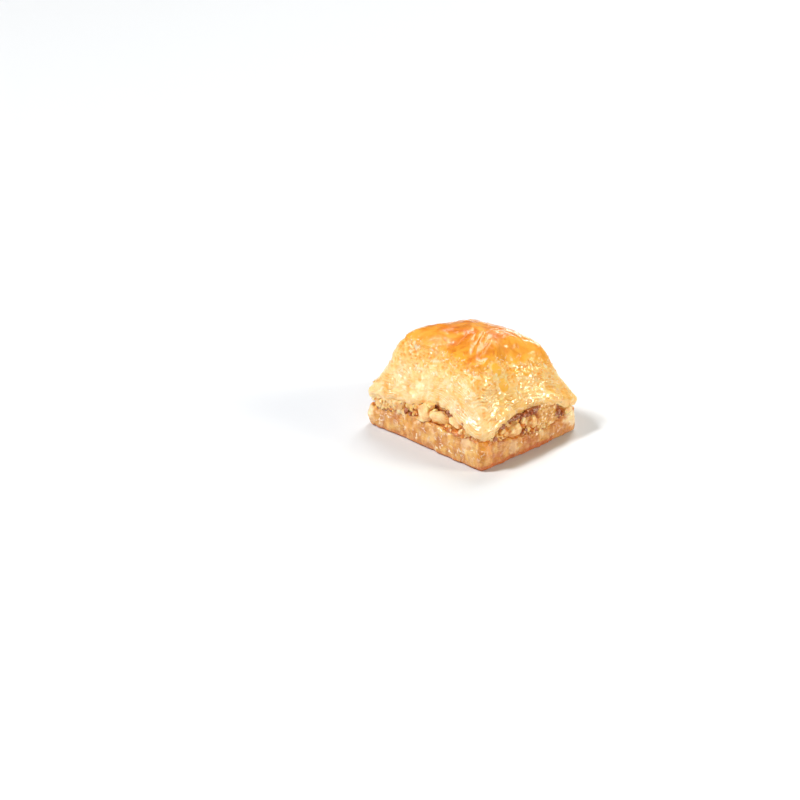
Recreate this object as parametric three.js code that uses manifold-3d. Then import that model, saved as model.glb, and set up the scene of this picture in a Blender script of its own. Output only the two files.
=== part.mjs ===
// A cut square of walnut baklava: soaked bottom layers, a bed of chopped walnuts, and a puffed,
// glazed top that curves down to four drooping corners. Millimetres, +Z up, X along the longer cut
// side, origin in the middle of the underside.

import * as THREE from "three";
import { mergeVertices } from "three/addons/utils/BufferGeometryUtils.js";
import Module from "manifold-3d";

// ---- Driving dimensions ----

const LENGTH = 50.8; // longer cut side, along X
const WIDTH = 43.8; // shorter cut side, along Y
const HEIGHT = 34.4; // table to the crown of the dome
const SEGMENTS = 80; // faces round the piece, a multiple of 8
const GAP = 0.3; // clearance between two layers that touch

const HALF_X = LENGTH / 2;
const HALF_Y = WIDTH / 2;

// Heights round the piece, every 15 degrees from the middle of the +X side: +X, corner at 45,
// +Y, corner at 135, -X, corner at 225, -Y, corner at 315.
const BASE_TOP = [
  6.0, 5.8, 6.6, 7.8, 7.6, 8.3, 8.7, 8.4, 7.9, 8.3, 8.0, 8.6,
  8.9, 8.2, 7.2, 7.2, 8.4, 9.4, 9.6, 9.4, 9.7, 10.0, 8.4, 6.8,
];
const TOP_EDGE = [
  13.4, 13.5, 12.6, 9.6, 12.6, 14.2, 15.2, 14.1, 12.8, 10.6, 13.2, 14.6,
  14.2, 13.1, 12.2, 9.9, 11.9, 12.8, 15.0, 16.2, 14.3, 11.0, 13.3, 13.7,
];

// Bottom layers.
const BASE = {
  centreTop: 9,
  squareness: 20,
  foot: 0.975, // share of the full size at the table
  waist: 0.975, // share of the full size just under the walnuts
  ledge: 0.2, // how far the cut sheets stand in and out
  ledges: 4,
};

// Puffed top: cut sides between a skirt and a shoulder, and a glazed cap over them. The profiles
// give the share of the full size at each tenth of the way up from the skirt to the shoulder.
const TOP = {
  centreUnderside: 15,
  cornerProfile: [1.0, 1.015, 0.965, 0.91, 0.865, 0.83, 0.8, 0.775, 0.745, 0.71, 0.66],
  faceProfile: [0.915, 0.93, 0.905, 0.865, 0.83, 0.795, 0.76, 0.725, 0.68, 0.635, 0.575],
  skirtSquareness: 20,
  shoulderSquareness: 8,
  crownSquareness: 2,
  capFall: 2.3, // power of the fall from the crown to the shoulder
  ledge: 0.25,
  ledges: 6,
};

// Height of the shoulder every 45 degrees, from the middle of the +X side.
const SHOULDER = [28.8, 29.0, 29.2, 28.2, 31.0, 31.0, 30.4, 30.4];
// The shoulder's share of the profiles above: the far corner curves down earlier.
const SHOULDER_REACH = [1, 1.03, 0.98, 0.86, 1, 1.04, 1, 1];

// Folds of the top sheet: they run out like a star from one point near the crown. `reach` is the
// share of the way to the shoulder.
const STAR = { x: 3.8, y: 2.2 };
const FOLDS = [
  { degrees: 37, height: -0.55, halfWidth: 4, reach: 0.95 },
  { degrees: 64, height: -0.5, halfWidth: 4, reach: 0.75 },
  { degrees: 108, height: 0.45, halfWidth: 6, reach: 0.8 },
  { degrees: 150, height: -0.5, halfWidth: 5, reach: 0.85 },
  { degrees: 192, height: -0.45, halfWidth: 4, reach: 0.85 },
  { degrees: 228, height: 0.4, halfWidth: 5, reach: 0.8 },
  { degrees: 266, height: 0.4, halfWidth: 4, reach: 0.9 },
  { degrees: 275, height: -0.6, halfWidth: 3.5, reach: 0.95 },
  { degrees: 304, height: -0.6, halfWidth: 3, reach: 0.95 },
  { degrees: 309, height: 0.5, halfWidth: 2.5, reach: 1 },
  { degrees: 315, height: -0.6, halfWidth: 3, reach: 1 },
];

// Chopped walnuts: a bed with pieces pressed into its rim. The placed pieces are the large ones;
// smaller ones fill the rim between them.
const NUTS = {
  inset: 2.4, // of the bed behind the cut sides
  cutShare: 0.98, // share of the full size where the knife went through the pieces
  squareness: 8,
  depth: 0.38, // of a piece's middle behind the cut sides, as a share of its size
  roughness: 0.22, // of the broken faces, as a share of a piece's size
  smallPieces: 25, // in each of two staggered rows
  smallest: 3.9,
  largest: 6.4,
  seed: 11,
  placed: [
    { degrees: 270, level: 0.5, size: 7.4 },
    { degrees: 286, level: 0.45, size: 5.8 },
    { degrees: 299, level: 0.5, size: 5.4 },
    { degrees: 343, level: 0.35, size: 7.2 },
    { degrees: 4, level: 0.7, size: 6.0 },
    { degrees: 33, level: 0.4, size: 5.6 },
    { degrees: 74, level: 0.5, size: 6.8 },
    { degrees: 101, level: 0.45, size: 6.2 },
    { degrees: 158, level: 0.5, size: 6.4 },
    { degrees: 187, level: 0.55, size: 7.0 },
    { degrees: 229, level: 0.5, size: 4.6 },
    { degrees: 236, level: 0.4, size: 4.8 },
  ],
};

// ---- Small helpers ----

const { clamp, lerp, smoothstep, degToRad } = THREE.MathUtils;

/** Repeatable random numbers from 0 to 1. */
function randomSource(seed) {
  let state = seed;
  return () => {
    state = (state + 0x6d2b79f5) | 0;
    let mixed = Math.imul(state ^ (state >>> 15), 1 | state);
    mixed = (mixed + Math.imul(mixed ^ (mixed >>> 7), 61 | mixed)) ^ mixed;
    return ((mixed ^ (mixed >>> 14)) >>> 0) / 4294967296;
  };
}

/** A smooth unevenness round the piece, from about -1 to 1. `phase` makes each layer different. */
function waviness(angle, phase) {
  return (
    0.45 * Math.sin(3 * angle + phase) +
    0.3 * Math.sin(7 * angle + 2.3 * phase) +
    0.25 * Math.sin(13 * angle + 4.1 * phase)
  );
}

/** A smooth curve through evenly spaced values; `position` counts them from 0. */
function through(values, position, closed) {
  const start = Math.floor(position);
  const t = position - start;
  const last = values.length - 1;
  const at = (i) => values[closed ? (i + values.length) % values.length : clamp(i, 0, last)];
  const [a, b, c, d] = [at(start - 1), at(start), at(start + 1), at(start + 2)];
  return b + 0.5 * t * (c - a + t * (2 * a - 5 * b + 4 * c - d + t * (3 * (b - c) + d - a)));
}

/** A value that is given at even steps all the way round. */
function round(values, angle) {
  const turn = angle / (2 * Math.PI);
  return through(values, (turn - Math.floor(turn)) * values.length, true);
}

/** Where a rounded rectangle of half-sizes 1 by 1 is met in the direction `angle`. */
function roundedSquare(angle, squareness) {
  const across = Math.abs(Math.cos(angle));
  const along = Math.abs(Math.sin(angle));
  return (across ** squareness + along ** squareness) ** (-1 / squareness);
}

/** 1 at the corners, 0 at the middle of the sides. */
function cornerward(angle) {
  return Math.abs(Math.sin(2 * angle)) ** 1.5;
}

/** A point at `share` of the full size, `push` millimetres further out, at height z. */
function planPoint(angle, share, squareness, push, z) {
  const radius = roundedSquare(angle, squareness);
  const x = HALF_X * share * radius * Math.cos(angle);
  const y = HALF_Y * share * radius * Math.sin(angle);
  const outward = Math.hypot(x, y) > 0 ? push / Math.hypot(x, y) : 0;
  return new THREE.Vector3(x * (1 + outward), y * (1 + outward), z);
}

/** The direction of each step round the piece: evenly spaced along the sides, one at each corner. */
function stepAngle(step) {
  const eighth = Math.floor((8 * step) / SEGMENTS);
  const within = (8 * step) / SEGMENTS - eighth;
  const towardsCorner = eighth % 2 ? 1 - within : within;
  const aside = Math.atan(towardsCorner);
  return eighth % 2 ? ((eighth + 1) * Math.PI) / 4 - aside : (eighth * Math.PI) / 4 + aside;
}

/**
 * A closed body made of rings from the middle of its upper face, over its sides, to the middle of
 * its lower face. `place(angle, ring)` gives each point; ring 0 and the last ring are on the axis.
 */
function ringBody(ringCount, place) {
  const points = [];
  for (let ring = 1; ring < ringCount - 1; ring++) {
    for (let step = 0; step < SEGMENTS; step++) {
      points.push(...place(stepAngle(step), ring).toArray());
    }
  }
  const crown = points.length / 3;
  const foot = crown + 1;
  points.push(...place(0, 0).toArray(), ...place(0, ringCount - 1).toArray());
  const lastRing = (ringCount - 3) * SEGMENTS;
  const faces = [];
  for (let step = 0; step < SEGMENTS; step++) {
    const next = (step + 1) % SEGMENTS;
    faces.push(crown, step, next, foot, lastRing + next, lastRing + step);
    for (let upper = 0; upper < lastRing; upper += SEGMENTS) {
      const lower = upper + SEGMENTS;
      faces.push(upper + step, lower + step, lower + next, upper + step, lower + next, upper + next);
    }
  }
  const geometry = new THREE.BufferGeometry();
  geometry.setAttribute("position", new THREE.Float32BufferAttribute(points, 3));
  geometry.setIndex(faces);
  return geometry;
}

/** The geometry with only its positions, and each shared vertex kept once. */
function welded(geometry) {
  const bare = geometry.clone();
  bare.deleteAttribute("normal");
  bare.deleteAttribute("uv");
  return mergeVertices(bare, 1e-4);
}

// ---- Layer heights ----

/** Upper face of the bottom layers. */
function baseTop(angle, share) {
  return lerp(BASE.centreTop, round(BASE_TOP, angle), Math.min(share, 1) ** 3);
}

/** Underside of the puffed top: lowest at the corners, arched between them. */
function topUnderside(angle, share) {
  return lerp(TOP.centreUnderside, round(TOP_EDGE, angle), Math.min(share, 1) ** 3);
}

/** Height of the star's folds over the smooth cap, `reach` of the way to the shoulder. */
function foldHeight(angle, reach) {
  let height = 0;
  for (const fold of FOLDS) {
    const turn = angle - degToRad(fold.degrees);
    const aside = Math.atan2(Math.sin(turn), Math.cos(turn)) / degToRad(fold.halfWidth);
    const shown = smoothstep(reach, 0.1, 0.5) * (1 - smoothstep(reach, 0.75 * fold.reach, fold.reach));
    height += fold.height * shown * Math.exp(-(aside ** 2));
  }
  return height;
}

// ---- Bottom pastry ----

function bottomPastry(clearance = 0) {
  const innerShares = [0, 0.4, 0.7, 0.9];
  const sideRings = 2 * BASE.ledges + 1;
  const rings = 2 * innerShares.length + sideRings;
  return ringBody(rings, (angle, ring) => {
    if (ring < innerShares.length) {
      const share = innerShares[ring] * BASE.waist;
      return planPoint(angle, share, BASE.squareness, 0, baseTop(angle, share) + clearance);
    }
    if (ring < innerShares.length + sideRings) {
      const step = ring - innerShares.length;
      const down = step / (sideRings - 1);
      const belly = Math.sin(Math.PI * down) ** 0.7;
      const share = lerp(lerp(BASE.waist, BASE.foot, down), 1, belly);
      const ledge = BASE.ledge * (step % 2 ? -1 : 1) + 0.3 * waviness(angle, 1.7 + 0.9 * step);
      const level = (baseTop(angle, 1) - 0.3 + clearance) * (1 - down);
      return planPoint(angle, share, BASE.squareness, ledge - 0.3 + clearance, level);
    }
    return planPoint(angle, innerShares[rings - 1 - ring] * BASE.foot, BASE.squareness, 0, 0);
  });
}

// ---- Puffed top ----

/** A point of the cut sides, `up` of the way from the skirt to the shoulder. */
function sidePoint(angle, up, push) {
  const corner = through(TOP.cornerProfile, 10 * up, false);
  const face = through(TOP.faceProfile, 10 * up, false);
  const reach = lerp(1, round(SHOULDER_REACH, angle), up);
  const share = lerp(face, corner, cornerward(angle)) * reach;
  const squareness = lerp(TOP.skirtSquareness, TOP.shoulderSquareness, up);
  const level = lerp(topUnderside(angle, 1), round(SHOULDER, angle), up);
  return planPoint(angle, share, squareness, push, level);
}

/** A point of the cap, `out` of the way from the star's middle to the shoulder. */
function capPoint(angle, out) {
  const face = TOP.faceProfile.at(-1);
  const corner = TOP.cornerProfile.at(-1);
  const share = lerp(face, corner, cornerward(angle)) * round(SHOULDER_REACH, angle) * out;
  const squareness = lerp(TOP.crownSquareness, TOP.shoulderSquareness, out ** 1.5);
  const fall = (HEIGHT - round(SHOULDER, angle)) * out ** TOP.capFall;
  const point = planPoint(angle, share, squareness, 0, HEIGHT - fall + foldHeight(angle, out));
  point.x += STAR.x * (1 - out);
  point.y += STAR.y * (1 - out);
  return point;
}

function topPastry(clearance = 0) {
  const capShares = [0, 0.1, 0.22, 0.34, 0.46, 0.58, 0.7, 0.8, 0.88, 0.95];
  const undersideShares = [0.94, 0.75, 0.45, 0];
  const sideRings = 2 * TOP.ledges + 1;
  const rings = capShares.length + sideRings + undersideShares.length;
  return ringBody(rings, (angle, ring) => {
    if (ring < capShares.length) {
      const point = capPoint(angle, capShares[ring]);
      return point.setZ(point.z + clearance);
    }
    const step = ring - capShares.length;
    if (step < sideRings) {
      const up = 1 - step / (sideRings - 1);
      const comb = TOP.ledge * (step % 2 ? 1 : -1) * Math.min(1, 2 * step / sideRings);
      const ragged = 0.35 * waviness(angle, 0.6 + 1.3 * step) * (1 - up) - 0.2;
      const point = sidePoint(angle, up, comb + ragged + clearance);
      return point.setZ(point.z + lerp(-clearance, clearance, up));
    }
    const rim = lerp(TOP.faceProfile[0], TOP.cornerProfile[0], cornerward(angle));
    const share = undersideShares[step - sideRings] * rim;
    const level = topUnderside(angle, share) - clearance;
    return planPoint(angle, share, TOP.skirtSquareness, 0, level);
  });
}

// ---- Walnut filling ----

function nutBed() {
  const innerShares = [0, 0.5, 0.85];
  const rings = 2 * innerShares.length + 2;
  const bedShare = 1 - NUTS.inset / HALF_Y;
  return ringBody(rings, (angle, ring) => {
    const upper = ring <= innerShares.length;
    const fromAxis = upper ? ring : rings - 1 - ring;
    const share = bedShare * (fromAxis < innerShares.length ? innerShares[fromAxis] : 1);
    const level = upper ? topUnderside(angle, share) - GAP - 0.3 : baseTop(angle, share) + GAP + 0.3;
    return planPoint(angle, share, NUTS.squareness, 0, level);
  });
}

/** The block that the knife cut, as high as the filling. */
function cutBlock() {
  return ringBody(4, (angle, ring) => {
    const level = ring < 2 ? HEIGHT : 0;
    return planPoint(angle, ring % 3 ? NUTS.cutShare : 0, BASE.squareness, 0, level);
  });
}

/** One chopped piece: a lump with flat broken faces, stretched and turned at random. */
function nutPiece(size, random) {
  const lump = welded(new THREE.IcosahedronGeometry(size / 2, 0));
  const corners = lump.attributes.position;
  for (let i = 0; i < corners.count; i++) {
    const stretch = 1 + NUTS.roughness * (2 * random() - 1);
    corners.setXYZ(i, corners.getX(i) * stretch, corners.getY(i) * stretch, corners.getZ(i) * stretch);
  }
  const squeeze = new THREE.Vector3(0.9 + 0.35 * random(), 0.85 + 0.3 * random(), 0.7 + 0.3 * random());
  const turn = new THREE.Euler(6.28 * random(), 6.28 * random(), 6.28 * random());
  const placed = new THREE.Matrix4().makeRotationFromEuler(turn).scale(squeeze);
  return lump.applyMatrix4(placed);
}

/** A piece at `level` of the way up from the bottom pastry to the puffed top. */
function nutAt(angle, level, size, behind, random) {
  const height = lerp(baseTop(angle, 1), topUnderside(angle, 1), level);
  const place = planPoint(angle, 1, 10, -behind - NUTS.depth * size, height);
  return nutPiece(size, random).translate(...place.toArray());
}

/** One row of the smaller pieces, all the way round. */
function smallNuts(row, random) {
  return Array.from({ length: NUTS.smallPieces }, (_, i) => {
    const turn = (i + 0.5 * row + 0.5 * (random() - 0.5)) / NUTS.smallPieces;
    const size = lerp(NUTS.smallest, NUTS.largest, random() ** 1.6);
    const behind = 0.9 * random();
    return nutAt(2 * Math.PI * turn, row ? 0.72 : 0.28, size, behind, random);
  });
}

/** The recognisable large pieces. */
function largeNuts(random) {
  return NUTS.placed.map(({ degrees, level, size }) => {
    return nutAt(degToRad(degrees), level, size, 0, random);
  });
}

// ---- Joining and cutting ----

const wasm = await Module();
wasm.setup();

function solidOf(geometry) {
  const shared = welded(geometry);
  return new wasm.Manifold(
    new wasm.Mesh({
      numProp: 3,
      vertProperties: new Float32Array(shared.attributes.position.array),
      triVerts: new Uint32Array(shared.index.array),
    }),
  );
}

function geometryOf(solid) {
  const mesh = solid.getMesh();
  const geometry = new THREE.BufferGeometry();
  geometry.setAttribute("position", new THREE.BufferAttribute(mesh.vertProperties, 3));
  geometry.setIndex(new THREE.BufferAttribute(mesh.triVerts, 1));
  return geometry;
}

/** The walnuts as one body, cut clear of the pastry above and below. Loose scraps are dropped. */
function walnutFilling() {
  const random = randomSource(NUTS.seed);
  const pieces = [...largeNuts(random), ...smallNuts(0, random), ...smallNuts(1, random)];
  const joined = pieces.reduce((sum, piece) => sum.add(solidOf(piece)), solidOf(nutBed()));
  const cut = joined.intersect(solidOf(cutBlock()));
  const clear = cut.subtract(solidOf(bottomPastry(GAP))).subtract(solidOf(topPastry(GAP)));
  const bodies = clear.decompose().sort((a, b) => b.volume() - a.volume());
  return geometryOf(bodies[0]);
}

// ---- The piece ----

const FINISHES = {
  bottom_pastry: { color: 0xdda873, roughness: 0.35 },
  walnut_filling: { color: 0xe2bd86, roughness: 0.55 },
  top_pastry: { color: 0xf2c87e, roughness: 0.25 },
};

function layer(name, geometry) {
  const mesh = new THREE.Mesh(geometry, new THREE.MeshStandardMaterial(FINISHES[name]));
  mesh.name = name;
  return mesh;
}

const baklava = new THREE.Group();
baklava.add(layer("bottom_pastry", bottomPastry()));
baklava.add(layer("walnut_filling", walnutFilling()));
baklava.add(layer("top_pastry", topPastry()));

// The frame's origin is the middle of the underside.
const bounds = new THREE.Box3().setFromObject(baklava, true);
const middle = bounds.getCenter(new THREE.Vector3());
baklava.position.set(-middle.x, -middle.y, -bounds.min.z);

export default baklava;
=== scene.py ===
"""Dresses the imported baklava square: layered pastry, glazed crown and chopped walnuts.

Surfaces are functions of the direction round the piece and the way down it, in millimetres, from
the same named sizes as the solids. They become metres when a mesh is made. The last number of a
noise is its seed.
"""

import math

import bmesh
import bpy
import numpy as np
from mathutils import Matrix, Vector


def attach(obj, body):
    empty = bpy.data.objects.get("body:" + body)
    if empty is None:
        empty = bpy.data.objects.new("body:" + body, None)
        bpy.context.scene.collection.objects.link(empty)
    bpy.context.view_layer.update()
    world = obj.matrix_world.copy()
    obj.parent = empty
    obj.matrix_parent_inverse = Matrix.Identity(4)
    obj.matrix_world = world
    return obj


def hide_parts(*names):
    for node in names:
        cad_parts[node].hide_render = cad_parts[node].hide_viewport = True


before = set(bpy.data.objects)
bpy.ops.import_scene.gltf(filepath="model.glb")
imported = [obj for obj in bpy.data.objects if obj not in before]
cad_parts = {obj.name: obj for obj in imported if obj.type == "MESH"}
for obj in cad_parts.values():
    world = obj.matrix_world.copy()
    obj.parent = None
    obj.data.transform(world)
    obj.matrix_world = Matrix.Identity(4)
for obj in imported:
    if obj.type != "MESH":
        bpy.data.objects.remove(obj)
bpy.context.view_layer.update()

MM = 0.001
LENGTH = 50.8
WIDTH = 43.8
HEIGHT = 34.4
HALF = np.array([LENGTH / 2, WIDTH / 2])
SHIFT = np.array([0, 0.12, 0])  # the solids' recentring on their common box

# ---- The solids' forms ----

BASE_TOP = [
    6, 5.8, 6.6, 7.8, 7.6, 8.3, 8.7, 8.4, 7.9, 8.3, 8, 8.6,
    8.9, 8.2, 7.2, 7.2, 8.4, 9.4, 9.6, 9.4, 9.7, 10, 8.4, 6.8,
]
TOP_EDGE = [
    13.4, 13.5, 12.6, 9.6, 12.6, 14.2, 15.2, 14.1, 12.8, 10.6, 13.2, 14.6,
    14.2, 13.1, 12.2, 9.9, 11.9, 12.8, 15, 16.2, 14.3, 11, 13.3, 13.7,
]
CENTRE_TOP = 9
CENTRE_UNDERSIDE = 15
CORNER_PROFILE = [1, 1.015, 0.965, 0.91, 0.865, 0.83, 0.8, 0.775, 0.745, 0.71, 0.66]
FACE_PROFILE = [0.915, 0.93, 0.905, 0.865, 0.83, 0.795, 0.76, 0.725, 0.68, 0.635, 0.575]
SHOULDER = [28.8, 29, 29.2, 28.2, 31, 31, 30.4, 30.4]
SHOULDER_REACH = [1, 1.03, 0.98, 0.86, 1, 1.04, 1, 1]
SKIRT_SQUARENESS = 20
SHOULDER_SQUARENESS = 8
CAP_FALL = 2.3
STAR = np.array([3.8, 2.2])
# degrees, height, half-width in degrees, reach towards the shoulder
FOLDS = [
    (37, -0.55, 4, 0.95),
    (64, -0.5, 4, 0.75),
    (108, 0.45, 6, 0.8),
    (150, -0.5, 5, 0.85),
    (192, -0.45, 4, 0.85),
    (228, 0.4, 5, 0.8),
    (266, 0.4, 4, 0.9),
    (275, -0.6, 3.5, 0.95),
    (304, -0.6, 3, 0.95),
    (309, 0.5, 2.5, 1),
    (315, -0.6, 3, 1),
]


def through(values, position, closed):
    """A smooth curve through evenly spaced values; position counts them from 0."""
    values = np.asarray(values, float)
    start = np.floor(position).astype(int)
    t = position - start

    def at(index):
        if closed:
            return values[index % len(values)]
        return values[np.clip(index, 0, len(values) - 1)]

    a, b, c, d = at(start - 1), at(start), at(start + 1), at(start + 2)
    return b + 0.5 * t * (c - a + t * (2 * a - 5 * b + 4 * c - d + t * (3 * (b - c) + d - a)))


def all_round(values, angle):
    """A value given at even steps all the way round."""
    turn = angle / (2 * math.pi)
    return through(values, (turn - np.floor(turn)) * len(values), True)


def lerp(a, b, t):
    return a + (b - a) * t


def smoothstep(x, low, high):
    t = np.clip((x - low) / (high - low), 0, 1)
    return t * t * (3 - 2 * t)


def rounded_square(angle, squareness):
    across, along = abs(np.cos(angle)), abs(np.sin(angle))
    return (across**squareness + along**squareness) ** (-1 / squareness)


def cornerward(angle):
    """1 at the corners, 0 at the middle of the sides."""
    return abs(np.sin(2 * angle)) ** 1.5


def plan_point(angle, share, squareness, z):
    radius = share * rounded_square(angle, squareness)
    x = HALF[0] * radius * np.cos(angle)
    y = HALF[1] * radius * np.sin(angle)
    return np.stack(np.broadcast_arrays(x, y, z), axis=-1)


def base_top(angle, share):
    return lerp(CENTRE_TOP, all_round(BASE_TOP, angle), np.minimum(share, 1) ** 3)


def top_underside(angle, share):
    return lerp(CENTRE_UNDERSIDE, all_round(TOP_EDGE, angle), np.minimum(share, 1) ** 3)


def angle_gap(angle, degrees):
    turn = angle - math.radians(degrees)
    return abs(np.arctan2(np.sin(turn), np.cos(turn)))


def off_angle(angle, degrees, half_width):
    """How far an angle is from a direction, in half-widths."""
    return angle_gap(angle, degrees) / math.radians(half_width)


def bell(x):
    return np.exp(-(x**2))


def fold_height(angle, out):
    height = np.zeros(np.broadcast(angle, out).shape)
    for degrees, rise, half_width, reach in FOLDS:
        shown = smoothstep(out, 0.1, 0.5) * (1 - smoothstep(out, 0.75 * reach, reach))
        height += rise * shown * bell(off_angle(angle, degrees, half_width))
    return height


def side_point(angle, up):
    """The cut sides of the top, `up` of the way from the skirt to the shoulder."""
    corner = through(CORNER_PROFILE, 10 * up, False)
    face = through(FACE_PROFILE, 10 * up, False)
    reach = lerp(1, all_round(SHOULDER_REACH, angle), up)
    share = lerp(face, corner, cornerward(angle)) * reach
    squareness = lerp(SKIRT_SQUARENESS, SHOULDER_SQUARENESS, up)
    level = lerp(top_underside(angle, 1), all_round(SHOULDER, angle), up)
    return plan_point(angle, share, squareness, level)


def cap_point(angle, out, folds):
    """The crown, `out` of the way from the star's middle to the shoulder."""
    share = lerp(FACE_PROFILE[-1], CORNER_PROFILE[-1], cornerward(angle))
    share = share * all_round(SHOULDER_REACH, angle) * out
    squareness = lerp(2, SHOULDER_SQUARENESS, out**1.5)
    fall = (HEIGHT - all_round(SHOULDER, angle)) * out**CAP_FALL
    point = plan_point(angle, share, squareness, HEIGHT - fall + folds * fold_height(angle, out))
    point[..., 0] += STAR[0] * (1 - out)
    point[..., 1] += STAR[1] * (1 - out)
    return point


def top_point(angle, down, folds=1):
    """The outside of the top: down is 0 at the star, 1 at the shoulder, 2 at the skirt."""
    angle, down = np.broadcast_arrays(angle, down)
    cap = cap_point(angle, np.clip(down, 0, 1), folds)
    side = side_point(angle, np.clip(2 - down, 0, 1))
    return np.where((down <= 1)[..., None], cap, side)


# ---- Baking ----

BAKE_EDGE = [  # how far down the orange comes, every 15 degrees
    1.05, 1.17, 1.18, 1.18, 1.1, 1.02, 1, 0.98, 1.02, 1.1, 1.05, 1,
    1, 1.02, 1.05, 0.99, 0.98, 0.99, 1, 1, 1.02, 1.04, 0.9, 0.94,
]


def bake_tone(angle, down):
    """The baked colour: 0 at the skirt, 1 where the orange begins, 2 at the star."""
    edge = all_round(BAKE_EDGE, angle)
    return np.where(down > edge, (2 - down) / (2 - edge), 2 - down / edge)


# ---- Noise ----

CELL_KEYS = (374761393, 668265263, 2147483647)
SEED_KEY = 974634777
MIXERS = (1274126177, 2246822519)
WORD = 0xFFFFFFFF
OFF_CELLS = 0.37  # keeps round numbers of millimetres off the cells' corners
NOISE_GAIN = 1.7


def lattice(cells, seed):
    """A repeatable number from -1 to 1 for each whole-number cell."""
    keyed = sum(cells[..., i].astype(np.int64) * key for i, key in enumerate(CELL_KEYS))
    mixed = (keyed + seed * SEED_KEY) & WORD
    mixed = ((mixed ^ (mixed >> 13)) * MIXERS[0]) & WORD
    mixed = ((mixed ^ (mixed >> 15)) * MIXERS[1]) & WORD
    return ((mixed ^ (mixed >> 16)) & 0xFFFFFF) / (0xFFFFFF / 2) - 1


def noise(points, size, seed):
    """Smooth gradient noise, about -1 to 1, whose features are `size` across."""
    place = np.asarray(points, float) / size + OFF_CELLS
    cell = np.floor(place)
    inside = place - cell
    fade = inside**3 * (inside * (inside * 6 - 15) + 10)
    total = 0
    for corner in range(8):
        step = np.array([corner & 1, corner >> 1 & 1, corner >> 2])
        weight = np.prod(np.where(step, fade, 1 - fade), axis=-1)
        slope = sum(
            lattice(cell + step, 3 * seed + axis) * (inside[..., axis] - step[axis]) for axis in range(3)
        )
        total = total + weight * slope
    return NOISE_GAIN * total


def crumbs(points, size, seed):
    """Rounded crumbs with creases between them: 0 in the creases, about 1 on the crumbs."""
    return np.clip(1.7 * abs(noise(points, size, seed)), 0, 1)


def mottle(points, *octaves):
    """Noise on noise: each octave is (amount, size, seed)."""
    return sum(amount * noise(points, size, seed) for amount, size, seed in octaves)


def blurred(values, across, down):
    """The mean of the values near each, round the piece and up and down it."""
    rows = np.arange(len(values))
    near = [values[np.clip(rows + step, 0, len(values) - 1)] for step in range(-down, down + 1)]
    values = sum(near) / len(near)
    near = [np.roll(values, step, axis=1) for step in range(-across, across + 1)]
    return sum(near) / len(near)


def spot_gaps(points, spots, stretch=1):
    """For each spot (x, y, z, radius and more): how far off the points are, in radii, and the more."""
    for x, y, z, radius, *more in spots:
        away = np.linalg.norm((points - np.array([x, y, z])) * stretch, axis=-1) / radius
        yield away, *more


def strongest(points, spots, shape, stretch=1):
    """The most that any of the spots gives each point, by the shape of its distance."""
    most = 0
    for gap in spot_gaps(points, spots, stretch):
        most = np.maximum(most, shape(*gap))
    return most


def on_top(spots):
    """Spots given by degrees and how far down the top, as places and what is left of each."""
    return [
        (*top_point(np.array([math.radians(degrees)]), np.array([down]))[0], *more)
        for degrees, down, *more in spots
    ]


def smooth_line(corners, steps=5):
    """Points of a smooth curve through the corners."""
    position = np.linspace(0, len(corners) - 1, steps * (len(corners) - 1) + 1)
    columns = [through([corner[axis] for corner in corners], position, False) for axis in (0, 1)]
    return list(zip(*columns))


def line_distance(points, line):
    """How far each point is from a line in the plan, its side, and how far along it is."""
    nearest = np.full(points.shape[:-1], 1e9)
    side = np.ones(points.shape[:-1])
    along = np.zeros(points.shape[:-1])
    pieces = len(line) - 1
    for index in range(pieces):
        (x0, y0), (x1, y1) = line[index], line[index + 1]
        run_x, run_y = x1 - x0, y1 - y0
        at_x, at_y = points[..., 0] - x0, points[..., 1] - y0
        t = np.clip((at_x * run_x + at_y * run_y) / (run_x**2 + run_y**2), 0, 1)
        gap = np.hypot(at_x - t * run_x, at_y - t * run_y)
        nearer = gap < nearest
        nearest = np.where(nearer, gap, nearest)
        side = np.where(nearer, np.sign(run_x * at_y - run_y * at_x), side)
        along = np.where(nearer, (index + t) / pieces, along)
    return nearest, side, along


# ---- Meshes ----

# The slot of each kind of piece, and the solid that it replaces
CRUST = ("glazed_layers", "top_pastry")
SLAB = ("soaked_layers", "bottom_pastry")
FILLING = ("chopped_walnut", "walnut_filling")


def round_angles(count):
    """Directions all the way round, evenly spaced along the sides."""
    t = np.arange(count) * 8 / count
    eighth = np.floor(t).astype(int)
    within = t - eighth
    odd = eighth % 2 == 1
    aside = np.arctan(np.where(odd, 1 - within, within))
    return np.where(odd, (eighth + 1) * math.pi / 4 - aside, eighth * math.pi / 4 + aside)


def add_attribute(mesh, key, values):
    sort, field = ("FLOAT_VECTOR", "vector") if values.ndim == 2 else ("FLOAT", "value")
    data = mesh.attributes.new(key, sort, "POINT").data
    data.foreach_set(field, values.astype(np.float32).reshape(-1))


def make_object(name, verts, faces, kind, material, attributes):
    """A smooth mesh piece from points in millimetres and faces of three or four corners."""
    sizes = np.array([len(face) for face in faces])
    corners = np.concatenate(faces)
    mesh = bpy.data.meshes.new(name)
    mesh.vertices.add(len(verts))
    mesh.vertices.foreach_set("co", ((verts + SHIFT) * MM).astype(np.float32).reshape(-1))
    mesh.loops.add(len(corners))
    mesh.loops.foreach_set("vertex_index", corners.astype(np.int32))
    mesh.polygons.add(len(sizes))
    mesh.polygons.foreach_set("loop_start", (np.cumsum(sizes) - sizes).astype(np.int32))
    mesh.polygons.foreach_set("use_smooth", np.ones(len(sizes), bool))
    for key, values in attributes.items():
        add_attribute(mesh, key, values)
    mesh.update(calc_edges=True)
    mesh.validate()
    mesh.materials.append(material)
    piece = bpy.data.objects.new(name, mesh)
    bpy.context.scene.collection.objects.link(piece)
    slot, replaced = kind
    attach(piece, "root")
    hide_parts(replaced)


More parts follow.
